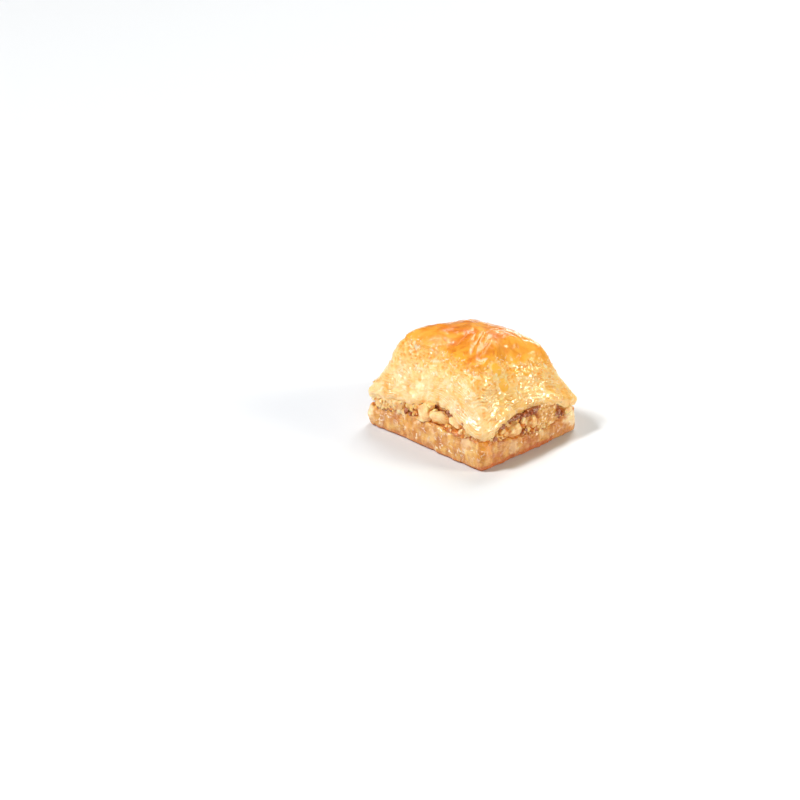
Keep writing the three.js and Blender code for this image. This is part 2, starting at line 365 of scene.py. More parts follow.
def ring_faces(ring_count, steps):
    """Faces of a closed body of rings; its two end points follow the rings' points."""
    step = np.arange(steps)
    following = (step + 1) % steps
    upper = (np.arange(ring_count - 1) * steps)[:, None]
    lower = upper + steps
    quads = np.stack([upper + step, lower + step, lower + following, upper + following], axis=-1)
    crown = ring_count * steps
    last = crown - steps
    fan = np.stack([np.full(steps, crown), step, following], axis=-1)
    foot = np.stack([np.full(steps, crown + 1), last + following, last + step], axis=-1)
    return [*quads.reshape(-1, 4), *fan, *foot]


def ring_object(name, rings, kind, material, attributes):
    """A closed body from rings of points (rings, steps, 3), the first and last round its ends."""
    count, steps = rings.shape[:2]
    verts = np.concatenate([rings.reshape(-1, 3), [rings[0].mean(0), rings[-1].mean(0)]])
    ended = {}
    for key, values in attributes.items():
        flat = values.reshape(count * steps, -1)
        joined = np.concatenate([flat, [flat[:steps].mean(0), flat[-steps:].mean(0)]])
        ended[key] = joined if joined.shape[1] == 3 else joined[:, 0]
    make_object(name, verts, ring_faces(count, steps), kind, material, ended)


def hidden_rings(head, foot):
    """A function that adds values for the hidden rings, above and below those of the seen ones."""

    def whole(values, above=0, below=0):
        ends = [np.zeros(rings.shape[:2]) + value for rings, value in ((head, above), (foot, below))]
        return np.concatenate([ends[0], values, ends[1]])

    return whole


def surface_normals(grid):
    """Outward normals of a closed-round grid of points, from its own slopes."""
    along = np.roll(grid, -1, axis=1) - np.roll(grid, 1, axis=1)
    down = np.gradient(grid, axis=0)
    normal = np.cross(down, along)
    return normal / (np.linalg.norm(normal, axis=-1, keepdims=True) + 1e-9)


def pushed(grid, push):
    """The grid of points, moved out along its normals."""
    return grid + surface_normals(grid) * push[..., None]


def sheet_flow(angle, sheet):
    """The place round the outline, and as its height which cut sheet it is, for the dashes."""
    flow = outline_point(angle) * np.ones((len(sheet), 1, 1))
    flow[..., 2] = SHEET_STEP * sheet
    return flow


def hollows(relief, across, down, depth):
    """1 in the hollows of a relief and -1 on its crests: the measure by which shade is painted into the
    hollows and highlight onto the crests.
    """
    return np.clip((blurred(relief, across, down) - relief) / depth, -1, 1)


# ---- Materials ----

SHEET_STEP = 0.9  # how far one cut sheet is from the next in the "flow" attribute
GAP_PLACE = 0.86  # where the gap and the wet crest are, of the way up a sheet
CREST_PLACE = 0.4
FINE_GRAIN = 2600
FILM_DEPTH = 0.0006
GLOW = (0.0018, 0.001, 0.0003)
BASE_GLOW = (0.0015, 0.001, 0.0004)
DEEPENED = (1, 0.92, 0.84, 1)  # the strong lights lift the yellow and the blue again
# The foods give off a faint warm glow of their own colour, which lightens their shade: painted light, not a
# lamp
PAINTED_GLOW_TINT = (1, 0.72, 0.4, 1)
PAINTED_GLOW_STRENGTH = 0.12
UNDER_SHINE = 0.25


def linear(red, green, blue):
    """A colour as seen on screen, 0 to 255, as the shader's numbers."""
    parts = [c / 255 for c in (red, green, blue)]
    return tuple(c / 12.92 if c <= 0.04045 else ((c + 0.055) / 1.055) ** 2.4 for c in parts) + (1,)


class Look:
    """The nodes of one material, and its colour, which is laid on in coats."""

    def __init__(self, tree):
        self.tree = tree
        self.place = self.node("TexCoord").outputs["Object"]
        self.colour = None

    def node(self, kind, settings=None, **inputs):
        """Adds a shader node. An input is a value, or an output socket to link."""
        made = self.tree.nodes.new("ShaderNode" + kind)
        for key, value in (settings or {}).items():
            setattr(made, key, value)
        for key, value in inputs.items():
            socket = made.inputs[int(key[1:]) if key[1:].isdigit() else key.replace("_", " ")]
            if isinstance(value, bpy.types.NodeSocket):
                self.tree.links.new(value, socket)
            else:
                socket.default_value = value
        return made

    def attribute(self, name, output="Fac"):
        settings = {"attribute_name": name, "attribute_type": "GEOMETRY"}
        return self.node("Attribute", settings).outputs[output]

    def noise(self, scale, detail=3, roughness=0.55, distortion=0, at=None):
        """Noise with about `scale` features to the metre."""
        place = self.place if at is None else at
        inputs = {"Scale": scale, "Detail": detail, "Roughness": roughness, "Distortion": distortion}
        return self.node("TexNoise", Vector=place, **inputs).outputs["Fac"]

    def scaled(self, vector, factors):
        return self.node("VectorMath", {"operation": "MULTIPLY"}, i0=vector, i1=factors).outputs[0]

    def grade(self, value, low, high, to_low=0, to_high=1):
        """The value's range from low to high, stretched to another, and clamped."""
        ends = {"From_Min": low, "From_Max": high, "To_Min": to_low, "To_Max": to_high}
        return self.node("MapRange", {"clamp": True}, Value=value, **ends).outputs["Result"]

    def math(self, operation, first, second=0):
        return self.node("Math", {"operation": operation}, i0=first, i1=second).outputs[0]

    def times(self, first, second):
        return self.math("MULTIPLY", first, second)

    def off(self, value, middle):
        """How far the value is from the middle."""
        return self.math("ABSOLUTE", self.math("SUBTRACT", value, middle))

    def ramp(self, factor, *stops):
        """A colour ramp through (position, red, green, blue)."""
        made = self.node("ValToRGB", Fac=factor)
        elements = made.color_ramp.elements
        while len(elements) < len(stops):
            elements.new(0.5)
        for element, (position, *colour) in zip(elements, stops):
            element.position = position
            element.color = linear(*colour)
        return made.outputs["Color"]

    def mixed(self, factor, first, second, blend="MIX"):
        settings = {"data_type": "RGBA", "blend_type": blend}
        return self.node("Mix", settings, i0=factor, i6=first, i7=second).outputs[2]

    def lay(self, factor, colour):
        """Lays on a colour, which is (red, green, blue) or a socket."""
        coat = linear(*colour) if isinstance(colour, tuple) else colour
        self.colour = self.mixed(factor, self.colour, coat)

    def tint(self, value, low, high, amount, colour):
        """Lays on a colour, from none where the value is low to the amount where it is high."""
        self.lay(self.grade(value, low, high, 0, amount), colour)

    def bumps(self, *layers, start=None):
        """Bumps on one another: each layer is (height, distance in metres, strength)."""
        normal = start
        for height, distance, strength in layers:
            made = self.node("Bump", Height=height, Distance=distance, Strength=strength)
            if normal is not None:
                self.tree.links.new(normal, made.inputs["Normal"])
            normal = made.outputs["Normal"]
        return normal

    def syrup_film(self, *layers, scale=380):
        """The wavy normal of a syrup film that bridges the sheets, from the smooth form below it."""
        settings = {"vector_type": "NORMAL", "convert_from": "OBJECT", "convert_to": "WORLD"}
        smooth = self.node("VectorTransform", settings, Vector=self.attribute("smooth", "Vector"))
        wide = (self.noise(scale, 1, 0.5, 0.3), FILM_DEPTH, 1)
        narrow = (self.noise(2.5 * scale, 1, 0.5), 0.3 * FILM_DEPTH, 0.9)
        return self.bumps(wide, narrow, *layers, start=smooth.outputs[0])


def food_material(name, paint, coat_ior, coat_roughness, glow, glow_radius=GLOW):
    """A moist food surface that also gives off a faint painted glow of its own colour, warmed, to lighten
    its shade. `paint` lays on its colour and gives its roughness and two normals.
    """
    material = bpy.data.materials.new(name)
    material.use_nodes = True
    tree = material.node_tree
    shader = tree.nodes["Principled BSDF"]
    look = Look(tree)
    roughness, normal, film = paint(look)
    colour = look.mixed(1, look.colour, DEEPENED, "MULTIPLY")
    # Painted glow: the colour, warmed, is given off as light to lighten the shade
    painted_glow = look.mixed(1, colour, PAINTED_GLOW_TINT, "MULTIPLY")
    linked = {
        "Base Color": colour, "Roughness": roughness, "Normal": normal, "Coat Normal": film,
        "Emission Color": painted_glow,
    }
    fixed = {
        "Coat Weight": 1, "Coat IOR": coat_ior, "Coat Roughness": coat_roughness,
        "Subsurface Weight": glow, "Subsurface Radius": glow_radius, "Subsurface Scale": 1,
        "Specular IOR Level": UNDER_SHINE, "Emission Strength": PAINTED_GLOW_STRENGTH,
    }
    for key, socket in linked.items():
        tree.links.new(socket, shader.inputs[key])
    for key, value in fixed.items():
        shader.inputs[key].default_value = value
    return material


def sheet_lines(look):
    """1 in the gaps between cut sheets, and 1 on the wet crests between them, both in dashes. The gaps are
    painted darker as shade, and on the top's sides the crests are painted white as highlights.
    """
    flow = look.attribute("flow", "Vector")
    sheet = look.math("DIVIDE", look.node("SeparateXYZ", Vector=flow).outputs["Z"], SHEET_STEP)
    within = look.math("FRACT", sheet)
    long_way = look.scaled(flow, (0.5, 0.5, 1.1))
    open_gap = look.grade(look.noise(0.8, 2, at=long_way), 0.42, 0.58)
    lit = look.grade(look.noise(1.5, 2, 0.6, at=long_way), 0.5, 0.58)
    gap = look.times(look.grade(look.off(within, GAP_PLACE), 0.04, 0.16, 1, 0), open_gap)
    crest = look.times(look.grade(look.off(within, CREST_PLACE), 0.08, 0.26, 1, 0), lit)
    return gap, crest


def pastry_tone(look):
    """How far up the baked colour is: 0 at the skirt, 1 where the orange begins, 2 at the star."""
    rise = look.attribute("rise")
    blotch = look.grade(look.noise(230, 3, 0.6, 0.5), 0.3, 0.7, -1, 1)
    small = look.grade(look.noise(700, 3), 0.3, 0.7, -0.1, 0.1)
    drift = look.times(look.grade(rise, 0.1, 0.8, 0.12, 0.26), blotch)
    return look.math("ADD", look.math("ADD", rise, drift), small)


# Half the tone, and its colour: cream low down, then golden, then the orange of the crown
BAKED = [
    (0, 246, 204, 124), (0.08, 250, 210, 128), (0.25, 252, 206, 112), (0.37, 253, 192, 78),
    (0.47, 252, 182, 62), (0.54, 238, 166, 52), (0.66, 226, 148, 42), (1, 220, 138, 38),
]
POCKETS = [
    (0, 238, 178, 80), (0.25, 246, 176, 68), (0.38, 248, 164, 48), (0.5, 244, 146, 32),
    (0.62, 224, 120, 22), (1, 218, 114, 24),
]
CRESTS = [(0, 255, 234, 180), (0.25, 255, 230, 170), (0.38, 255, 218, 136), (0.48, 255, 204, 104)]


def toned(look, tone, stops):
    return look.ramp(look.grade(tone, 0, 2), *stops)


def honeycomb(look):
    """1 inside the small open pockets of the upper sheets, 0 on the threads between them."""
    warp = look.node("TexNoise", Vector=look.place, Scale=500, Detail=2).outputs["Color"]
    shift = {"i0": warp, "i1": (0.0016, 0.0016, 0.0016), "i2": look.place}
    shifted = look.node("VectorMath", {"operation": "MULTIPLY_ADD"}, **shift).outputs[0]
    cells = look.node("TexVoronoi", {"feature": "DISTANCE_TO_EDGE"}, Vector=shifted, Scale=560)
    return look.grade(cells.outputs["Distance"], 0.08, 0.32)


def paint_layers(look):
    """Pale cut sheets, cream at the skirt and golden under the crown, with the coat's wet glints. Shade is
    painted into the hollows and the gaps between sheets, and highlight onto the crests, as white specks,
    and on the glaze round the blisters.
    """
    relief_shading, amber, rise = (look.attribute(name) for name in ("relief_shading", "amber", "rise"))
    gap, crest = sheet_lines(look)
    gap = look.times(gap, look.grade(look.attribute("creamy"), 0.2, 0.9, 1, 0.1))
    crest = look.times(crest, look.attribute("hatch"))
    pocket = honeycomb(look)
    comb = look.times(look.grade(rise, 0.35, 0.65), pocket)
    thread = look.times(look.grade(rise, 0.3, 0.6), look.grade(pocket, 0.4, 0.1))
    grain = look.noise(560, 2.5, 0.55, 0.9)
    patches = look.noise(200, 2)
    tone = pastry_tone(look)
    deep, pale = toned(look, tone, POCKETS), toned(look, tone, CRESTS)
    cream = look.mixed(look.grade(patches, 0.35, 0.6), linear(246, 208, 134), linear(252, 224, 170))
    look.colour = toned(look, tone, BAKED)
    look.lay(look.times(look.attribute("pale"), look.grade(tone, 0.95, 0.45)), cream)
    # Painted shade: deeper colour in the relief's hollows
    look.tint(relief_shading, 0, 0.7, 0.85, deep)
    # Painted shade: deeper colour in the gaps between the cut sheets
    look.tint(gap, 0, 1, 0.8, deep)
    look.tint(comb, 0.3, 1, 0.6, deep)
    look.tint(patches, 0.52, 0.66, 0.4, pale)
    # Painted highlight: paler colour on the relief's crests
    look.tint(relief_shading, -0.1, -0.8, 0.4, pale)
    look.tint(thread, 0, 1, 0.6, pale)
    # Painted highlight: white dashes on the wet crests
    look.tint(crest, 0, 1, 0.85, (255, 244, 210))
    # Painted highlights: small white specks standing in for wet glints
    painted_glint_specks = look.times(look.grade(grain, 0.57, 0.65), look.grade(patches, 0.35, 0.55, 0.25, 0.85))
    look.lay(painted_glint_specks, (255, 246, 216))
    look.tint(grain, 0.44, 0.37, 0.25, deep)
    look.tint(amber, 0.1, 0.9, 0.9, (255, 196, 62))
    # Painted highlight: pale glaze pools and blister rims, where amber is below 0
    look.tint(amber, -0.1, -0.8, 0.75, (255, 230, 166))
    roughness = look.grade(grain, 0.4, 0.65, 0.5, 0.25)
    level, fine = look.math("SUBTRACT", crest, gap), look.noise(FINE_GRAIN, 2)
    normal = look.bumps((level, 0.00012, 0.6), (comb, 0.00016, -0.8), (fine, 0.00005, 0.5))
    return roughness, normal, look.syrup_film((thread, 0.00016, 0.6), (crest, 0.00025, 0.7))


def paint_crown(look):
    """Thin glossy skin, browned orange and papery, gold at its edge. Its edge is flecked with painted
    glints, its creases and hollows hold painted shade, and its ridges and pale spots painted sheen.
    """
    edge = look.attribute("edge")
    papery = look.noise(300, 4, 0.6, 1.2)
    patch = look.noise(140, 3, 0.6, 0.8)
    grain = look.noise(900, 2, 0.5, 0.5)
    tone = pastry_tone(look)
    well_in = look.grade(tone, 1, 1.2)
    look.colour = toned(look, tone, BAKED)
    # Painted shade: deeper colour in the skin's hollows
    look.tint(look.attribute("relief_shading"), 0.1, 1, 0.5, toned(look, tone, POCKETS))
    look.lay(look.times(well_in, look.grade(patch, 0.5, 0.62, 0, 0.8)), (214, 116, 28))
    look.tint(patch, 0.48, 0.36, 0.7, (252, 192, 84))
    look.tint(papery, 0.54, 0.68, 0.35, (250, 184, 84))
    look.lay(look.times(well_in, look.grade(papery, 0.46, 0.32, 0, 0.35)), (212, 112, 26))
    # Painted shade in the creases and on the shaded side of the sheets' edges, together with the brown
    # spots of baking
    look.tint(look.attribute("crease_shade_and_spots"), 0.1, 0.9, 0.6, (238, 142, 40))
    # Painted glints: white flecks along the skin's edge
    look.lay(look.times(edge, look.grade(grain, 0.6, 0.66, 0, 0.7)), (255, 246, 220))
    look.tint(look.attribute("amber"), 0.1, 0.9, 0.8, (254, 184, 56))
    # Painted highlight and sheen: pale ridges, sheet edges, spots and blister rims
    look.tint(look.attribute("film"), 0.1, 1, 0.65, (255, 226, 180))
    roughness = look.grade(papery, 0.35, 0.7, 0.45, 0.3)
    normal = look.bumps((papery, 0.0004, 0.5), (look.noise(FINE_GRAIN, 2), 0.00004, 0.5))
    wet_edge = look.times(edge, grain)
    return roughness, normal, look.bumps((papery, 0.0005, 0.5), (wet_edge, 0.0005, 0.6))


def paint_base(look):
    """Soaked amber sheets with clustered wet flecks painted white as glints, painted shade in the hollows
    and gaps, browned along the foot and painted darker up the right side as shade.
    """
    gap, crest = sheet_lines(look)
    patched = look.attribute("patch")
    streaked = look.scaled(look.place, (1, 1, 0.3))
    streak = look.noise(700, 3, 0.6, at=streaked)
    lump = look.noise(420, 2, 0.5, 0.4, at=streaked)
    grain = look.noise(700, 2.5, 0.55, 0.9)
    blotch = look.noise(230, 4, 0.6, 0.6)
    look.colour = look.ramp(blotch, (0.36, 202, 124, 36), (0.5, 222, 164, 60), (0.64, 240, 204, 116))
    look.tint(lump, 0.54, 0.66, 0.5, (246, 206, 130))
    look.tint(lump, 0.46, 0.34, 0.6, (188, 110, 26))
    look.tint(streak, 0.54, 0.68, 0.6, (248, 210, 140))
    look.tint(streak, 0.46, 0.32, 0.6, (190, 112, 28))
    # Painted shade: darker in the slab's hollows
    look.tint(look.attribute("relief_shading"), 0, 0.9, 0.6, (188, 110, 28))
    # Painted shade: darker in the gaps between the cut sheets
    look.tint(gap, 0, 1, 0.35, (198, 114, 40))
    # Browned foot, and painted shade up the right side
    look.tint(look.attribute("toast_and_shade"), 0, 1, 0.9, (206, 104, 28))
    look.tint(patched, 0, 1, 0.95, (255, 238, 196))
    look.tint(patched, 0, -1, 0.8, (246, 168, 62))
    # Painted highlights: white flecks clustered in the wet patches
    wet = look.times(look.grade(grain, 0.57, 0.61), look.attribute("painted_glints"))
    look.tint(wet, 0, 1, 0.9, (255, 246, 224))
    roughness = look.grade(grain, 0.4, 0.65, 0.5, 0.25)
    level, fine = look.math("SUBTRACT", crest, gap), look.noise(FINE_GRAIN, 2)
    normal = look.bumps((level, 0.0001, 0.5), (streak, 0.00015, 0.5), (fine, 0.00005, 0.5))
    return roughness, normal, look.syrup_film((streak, 0.00012, 0.6), scale=480)


def paint_walnut(look):
    """Pale broken kernel with brown skin on some sides, wet with syrup."""
    skin = look.attribute("skin")
    blotch = look.noise(420, 4)
    grain = look.noise(1100, 3, 0.6)
    fine = look.noise(FINE_GRAIN, 3)
    wrinkle = look.grade(look.off(grain, 0.5), 0, 0.045, 1, 0)
    lines = look.times(wrinkle, look.grade(blotch, 0.52, 0.4))
    look.colour = look.ramp(blotch, (0.36, 230, 160, 78), (0.5, 248, 204, 126), (0.62, 255, 234, 178))
    look.tint(skin, 0, -0.8, 0.35, (255, 230, 176))
    look.tint(lines, 0, 1, 0.55, (206, 116, 44))
    look.tint(skin, 0.35, 0.65, 0.9, (148, 64, 20))
    look.tint(grain, 0.6, 0.68, 0.5, (255, 240, 210))
    roughness = look.grade(fine, 0.35, 0.65, 0.5, 0.28)
    normal = look.bumps((blotch, 0.0006, 0.7), (lines, 0.0002, -0.6), (fine, 0.00008, 0.6))
    return roughness, normal, look.bumps((blotch, 0.0006, 0.6), (grain, 0.0003, 0.6))


def paint_core(look):
    """Sticky nut paste: amber in front, painted dark brown as shade behind the pieces and in the gaps, and
    soaked where it floods, with painted white glints there.
    """
    blotch = look.noise(500, 4)
    grain = look.noise(1000, 3, 0.6)
    look.colour = look.ramp(blotch, (0.36, 196, 130, 44), (0.5, 222, 168, 74), (0.64, 240, 200, 120))
    # Painted glints: white flecks on the soaked paste
    look.tint(grain, 0.57, 0.62, 0.9, (255, 244, 216))
    look.tint(grain, 0.44, 0.38, 0.5, (186, 104, 34))
    soaked = look.colour
    look.colour = look.ramp(blotch, (0.38, 180, 100, 38), (0.6, 226, 150, 68))
    # Painted shade: dark brown in the recesses behind the pieces and in the open gaps
    look.tint(look.attribute("deep"), 0.15, 0.8, 1, (122, 50, 12))
    look.lay(look.attribute("flood"), soaked)
    roughness = look.grade(blotch, 0.3, 0.7, 0.5, 0.25)
    return roughness, look.bumps((blotch, 0.0003, 0.7)), look.bumps((grain, 0.0004, 0.7))


def paint_flakes(look):
    """Torn sheet, cream low down and golden near the crown."""
    grain = look.noise(1500, 3)
    tone = look.math("ADD", look.attribute("rise"), look.grade(grain, 0.3, 0.7, -0.1, 0.1))
    cream, gold = [(0, 246, 214, 150), (0.5, 252, 222, 160)], [(0.8, 253, 206, 122), (1, 248, 176, 78)]
    look.colour = look.ramp(tone, *cream, *gold)
    normal = look.bumps((grain, 0.0001, 0.5))
    return look.grade(grain, 0.3, 0.7, 0.45, 0.25), normal, normal


layers_material = food_material("layers", paint_layers, 1.57, 0.05, 0.45)
crown_material = food_material("crown", paint_crown, 1.39, 0.04, 0.16)
base_material = food_material("base_layers", paint_base, 1.56, 0.05, 0.5, BASE_GLOW)
walnut_material = food_material("walnut", paint_walnut, 1.55, 0.1, 0.5)
core_material = food_material("nut_paste", paint_core, 1.5, 0.12, 0.2)
flake_material = food_material("flakes", paint_flakes, 1.6, 0.06, 0.35)

# ---- Puffed top: layered sides ----

SIDE_LAYERS = 21
# degrees, half-width in degrees, how far the skirt hangs there
SKIRT_TONGUES = [
    (252.5, 2.6, 1.9), (213, 3, 0.8), (236, 3, 0.5), (301, 2.5, 0.6), (322, 2, 0.9),
    (349, 3, 0.7), (24, 3, 0.9), (35, 5, 1.2), (68, 3.5, 1), (96, 2.8, 0.7), (121, 3, 1.2),
    (158, 3.2, 0.9), (186, 2.6, 1.3),
]
# degrees, how far down, radius: smooth amber blisters near the crown
BLISTERS = on_top([
    (333.5, 1.09, 2.3), (338, 1.38, 2.3), (16, 1.28, 1.8), (3, 1.24, 1.2),
    (96, 1.12, 1.8), (190, 1.2, 1.6), (120, 1.3, 1.3),
])
# The same: small pools of glaze, painted pale as highlights
GLINT_POOLS = on_top([
    (331, 1.2, 1.2), (344.5, 1.33, 1.3), (2, 1.13, 1.2), (1, 1.14, 1), (22, 1.07, 0.6),
    (30, 1.09, 0.6), (256, 1.64, 1.3), (253, 1.78, 0.9), (241.5, 1.81, 1), (314.5, 1.13, 1),
    (307.5, 1.15, 0.8), (333.5, 1.55, 1.3), (26.5, 1.76, 0.8), (231.5, 1.96, 0.8), (226.5, 1.86, 1),
    (262, 1.3, 0.8), (100, 1.3, 1.1), (75, 1.6, 1.2), (125, 1.5, 1), (170, 1.3, 1.1),
    (186, 1.6, 1.2), (205, 1.4, 1), (150, 1.7, 1),
])
# The same: where the sheets' wet crests get painted white dashes as highlights
HATCHES = on_top([
    (295, 1.65, 5), (303, 1.85, 4), (281, 1.8, 4), (26, 1.68, 4), (37, 1.5, 3),
    (14, 1.85, 3), (318, 1.45, 3), (345, 1.7, 3), (70, 1.6, 4), (110, 1.75, 4),
    (132, 1.6, 4), (165, 1.7, 4), (200, 1.6, 4), (222, 1.8, 3), (150, 1.4, 3),
])
# The same and an amount: where the upper sides are less baked
PALER = on_top([
    (334, 1.2, 5.5, 0.26), (8, 1.22, 4, 0.22), (24, 1.15, 4, 0.22), (100, 1.2, 5, 0.2),
    (190, 1.25, 5, 0.25),
])
# degrees, half-width: the sides painted pale cream rather than golden
CREAMED = [(257, 50), (315, 12), (160, 25), (75, 18)]
CORNERS = (45, 135, 225, 315)
LAYERS_DOWN = (0.84, 2)  # from just under the crown's edge to the skirt
HIDDEN_DOWN = (0.35, 0.62, 0.78)
HIDDEN_DEPTH = 0.9
UNDER_CROWN = 0.7  # how far the layers draw in where the crown covers them
POOL_STRETCH = np.array([0.8, 0.8, 1.3])
SHEET_STAND = 0.26
GAP_DEPTH = 0.22
GAP_HALF = 0.16  # of a sheet
SHEET_KEY = 37.3  # sets the noise of one sheet apart from the next one's
BLISTER_RISE = 0.35
BLISTER_SINK = 0.15
RELIEF_WINDOW = (5, 6)  # how many points round and down a hollow is measured against


def outline_point(angle):
    """The cut outline in the plan, which does not change with height."""
    return plan_point(angle, 1, SKIRT_SQUARENESS, 0)


def near_corner(angle, half_width):
    """1 at the upright edges, falling to 0 away from them."""
    return sum(bell(off_angle(angle, degrees, half_width)) for degrees in CORNERS)


def layer_relief(angle, up, count, seed):
    """How far each cut sheet stands out, and which sheet it is."""
    outline = outline_point(angle)
    high = np.array([0, 0, 1]) * up[..., None]
    wander = 1.1 * noise(outline + 9 * high, 11, seed)
    wander = wander + 1.3 * noise(outline + 16 * high, 4.5, seed + 1)
    wander = wander + 0.25 * noise(outline + 20 * high, 1.4, seed + 2)
    sheet = up * count + wander
    index = np.floor(sheet)
    within = sheet - index

    def of_sheet(shift):
        flat = np.broadcast_to(outline, index.shape + (3,))
        key = np.stack([flat[..., 0], flat[..., 1], (index + shift) * SHEET_KEY], axis=-1)
        return mottle(key, (0.6, 5, seed + 5), (0.5, 1.8, seed + 6))

    stand = lerp(of_sheet(0), of_sheet(1), smoothstep(within, 0.74, 1))
    open_gap = smoothstep(noise(outline + 18 * high, 3, seed + 9), -0.45, 0.35)
    return SHEET_STAND * stand - GAP_DEPTH * bell((within - GAP_PLACE) / GAP_HALF) * open_gap, sheet


def skirt_drop(angle):
    drop = mottle(outline_point(angle), (0.45, 2.6, 71), (0.25, 0.9, 72))
    for degrees, half_width, reach in SKIRT_TONGUES:
        drop = drop + reach * np.clip(1 - off_angle(angle, degrees, half_width), 0, 1) ** 0.8
    return drop


def side_relief(angle, down, surface):
    """The relief of the top's crumbled sides, how creamy they are, the sheet, and how far up."""
    up = np.clip(2 - down, 0, 1.3) + 0 * angle
    creamy = smoothstep(mottle(surface, (1, 6.5, 41), (0.5, 2.2, 42)), -0.3, 0.25)
    creamy = creamy * lerp(1, 0.6, smoothstep(up, 0.5, 0.9))
    ridge = near_corner(angle, 9)
    sheets, sheet = layer_relief(angle, up, SIDE_LAYERS, 51)
    sheets = sheets * lerp(1, 0.3, creamy) * (0.85 + 0.1 * ridge)
    crumbly = 0.22 * crumbs(surface, 2.8, 46) + 0.14 * crumbs(surface, 1.3, 47) - 0.17
    smooth = mottle(surface, (0.12, 2, 48), (0.05, 0.9, 49))
    lumps = mottle(surface, (0.32, 6, 43), (0.24, 3, 44))
    relief = lumps + sheets + lerp(crumbly * (1 - 0.5 * ridge), smooth, creamy)
    for (gap,) in spot_gaps(surface, BLISTERS):
        inside = smoothstep(gap, 1.25, 0.8)
        dome = BLISTER_RISE * np.sqrt(np.clip(1 - gap**2, 0, 1)) - BLISTER_SINK
        relief = relief * (1 - inside) + inside * dome
        creamy = lerp(creamy, 0.5, inside)
    return relief, creamy, sheet, up


def blister_tint(surface):
    """1 on the amber blisters, and a painted pale highlight in a rim round them."""
    arcs = smoothstep(noise(surface, 1.3, 108), -0.1, 0.4)
    amber = strongest(surface, BLISTERS, lambda gap: smoothstep(gap, 1.05, 0.85))
    return amber, strongest(surface, BLISTERS, lambda gap: arcs * bell((gap - 1.15) / 0.14))


def glaze_glints(surface):
    """1 on the pools of glaze that are painted pale as highlights, ragged at their edges."""
    ragged = mottle(surface, (0.7, 1.4, 109), (0.35, 0.6, 110))
    return strongest(surface, GLINT_POOLS, lambda gap: smoothstep(gap + ragged, 1, 0.7), POOL_STRETCH)


def crown_edge(angle):
    """How far down the top skin comes, with 1 at the shoulder."""
    ragged = mottle(outline_point(angle), (0.03, 5, 91), (0.04, 2, 92), (0.03, 0.7, 93))
    return all_round(BAKE_EDGE, angle) + 0.03 + ragged


def seen_tone(angle, down, surface):
    """The baked tone, which is less at the paler places."""
    uneven = 1 + 0.5 * noise(surface, 1.8, 113)
    fall = strongest(surface, PALER, lambda gap, amount: amount * bell(gap) * uneven)
    return bake_tone(angle, down) - fall


def creamed_zone(angle, down, surface):
    """1 where the sides are pale cream rather than golden."""
    zone = 0
    for degrees, half_width in CREAMED:
        zone = np.maximum(zone, smoothstep(off_angle(angle, degrees, half_width), 1.25, 0.7))
    ragged = mottle(surface, (0.5, 7, 61), (0.3, 3, 62))
    return np.clip(zone * smoothstep(down, 1.1, 1.5) + 0.6 * ragged * (0.3 + zone), 0, 1)


def hatching(surface):
    """1 where the cut sheets are wet and open, where their crests get painted white highlight dashes, 0
    where they have melted together.
    """
    return np.clip(1.7 * strongest(surface, HATCHES, bell) + 0.4 * noise(surface, 3, 58), 0, 1)


def make_top_layers(steps=528, rows=170, under_rows=8):
    angle = round_angles(steps)[None, :]
    down = np.linspace(*LAYERS_DOWN, rows)[:, None]
    inward = np.linspace(0, 1, under_rows + 1)[1:, None]

    surface = top_point(angle, down)
    relief, creamy, sheet, up = side_relief(angle, down, surface)
    outer = pushed(surface, lerp(relief, -UNDER_CROWN, smoothstep(crown_edge(angle) - down, 0, 0.09)))
    low = smoothstep(up, 0.16, 0)
    outer[..., 2] -= skirt_drop(angle) * low
    outer[..., :2] *= (1 + 0.014 * low * noise(outline_point(angle), 2.4, 77))[..., None]

    caps = top_point(angle, np.array(HIDDEN_DOWN)[:, None])
    caps[..., 2] -= HIDDEN_DEPTH
    rim = outer[-1:]
    share = lerp(0.97, 0.35, inward)
    under = rim * share[..., None]
    settle = smoothstep(inward, 0, 0.5)
    ragged = 0.35 * noise(under, 2.2, 78) * (1 - settle)
    under[..., 2] = lerp(rim[..., 2] - 0.05, top_underside(angle, share), settle) + ragged

    whole = hidden_rings(caps, under)
    amber, rim_glint = blister_tint(surface)
    attributes = {
        "smooth": surface_normals(np.concatenate([caps, surface, under])),
        "rise": whole(seen_tone(angle, down, surface), 1),
        "creamy": whole(creamy),
        "relief_shading": whole(hollows(relief, *RELIEF_WINDOW, 0.22), 0, smoothstep(inward, 0, 0.6)),
        # amber is below 0 where the glaze pools and blister rims get painted highlight
        "amber": whole(amber - np.maximum(rim_glint, glaze_glints(surface))),
        "hatch": whole(hatching(surface)),
        "pale": whole(creamed_zone(angle, down, surface)),
        "flow": sheet_flow(angle, whole(sheet, 0, np.arange(under_rows)[:, None] * 0.7)),
    }
    rings = np.concatenate([caps, outer, under])
    ring_object("top_layers", rings, CRUST, layers_material, attributes)


make_top_layers()

# ---- Puffed top: glazed crown ----

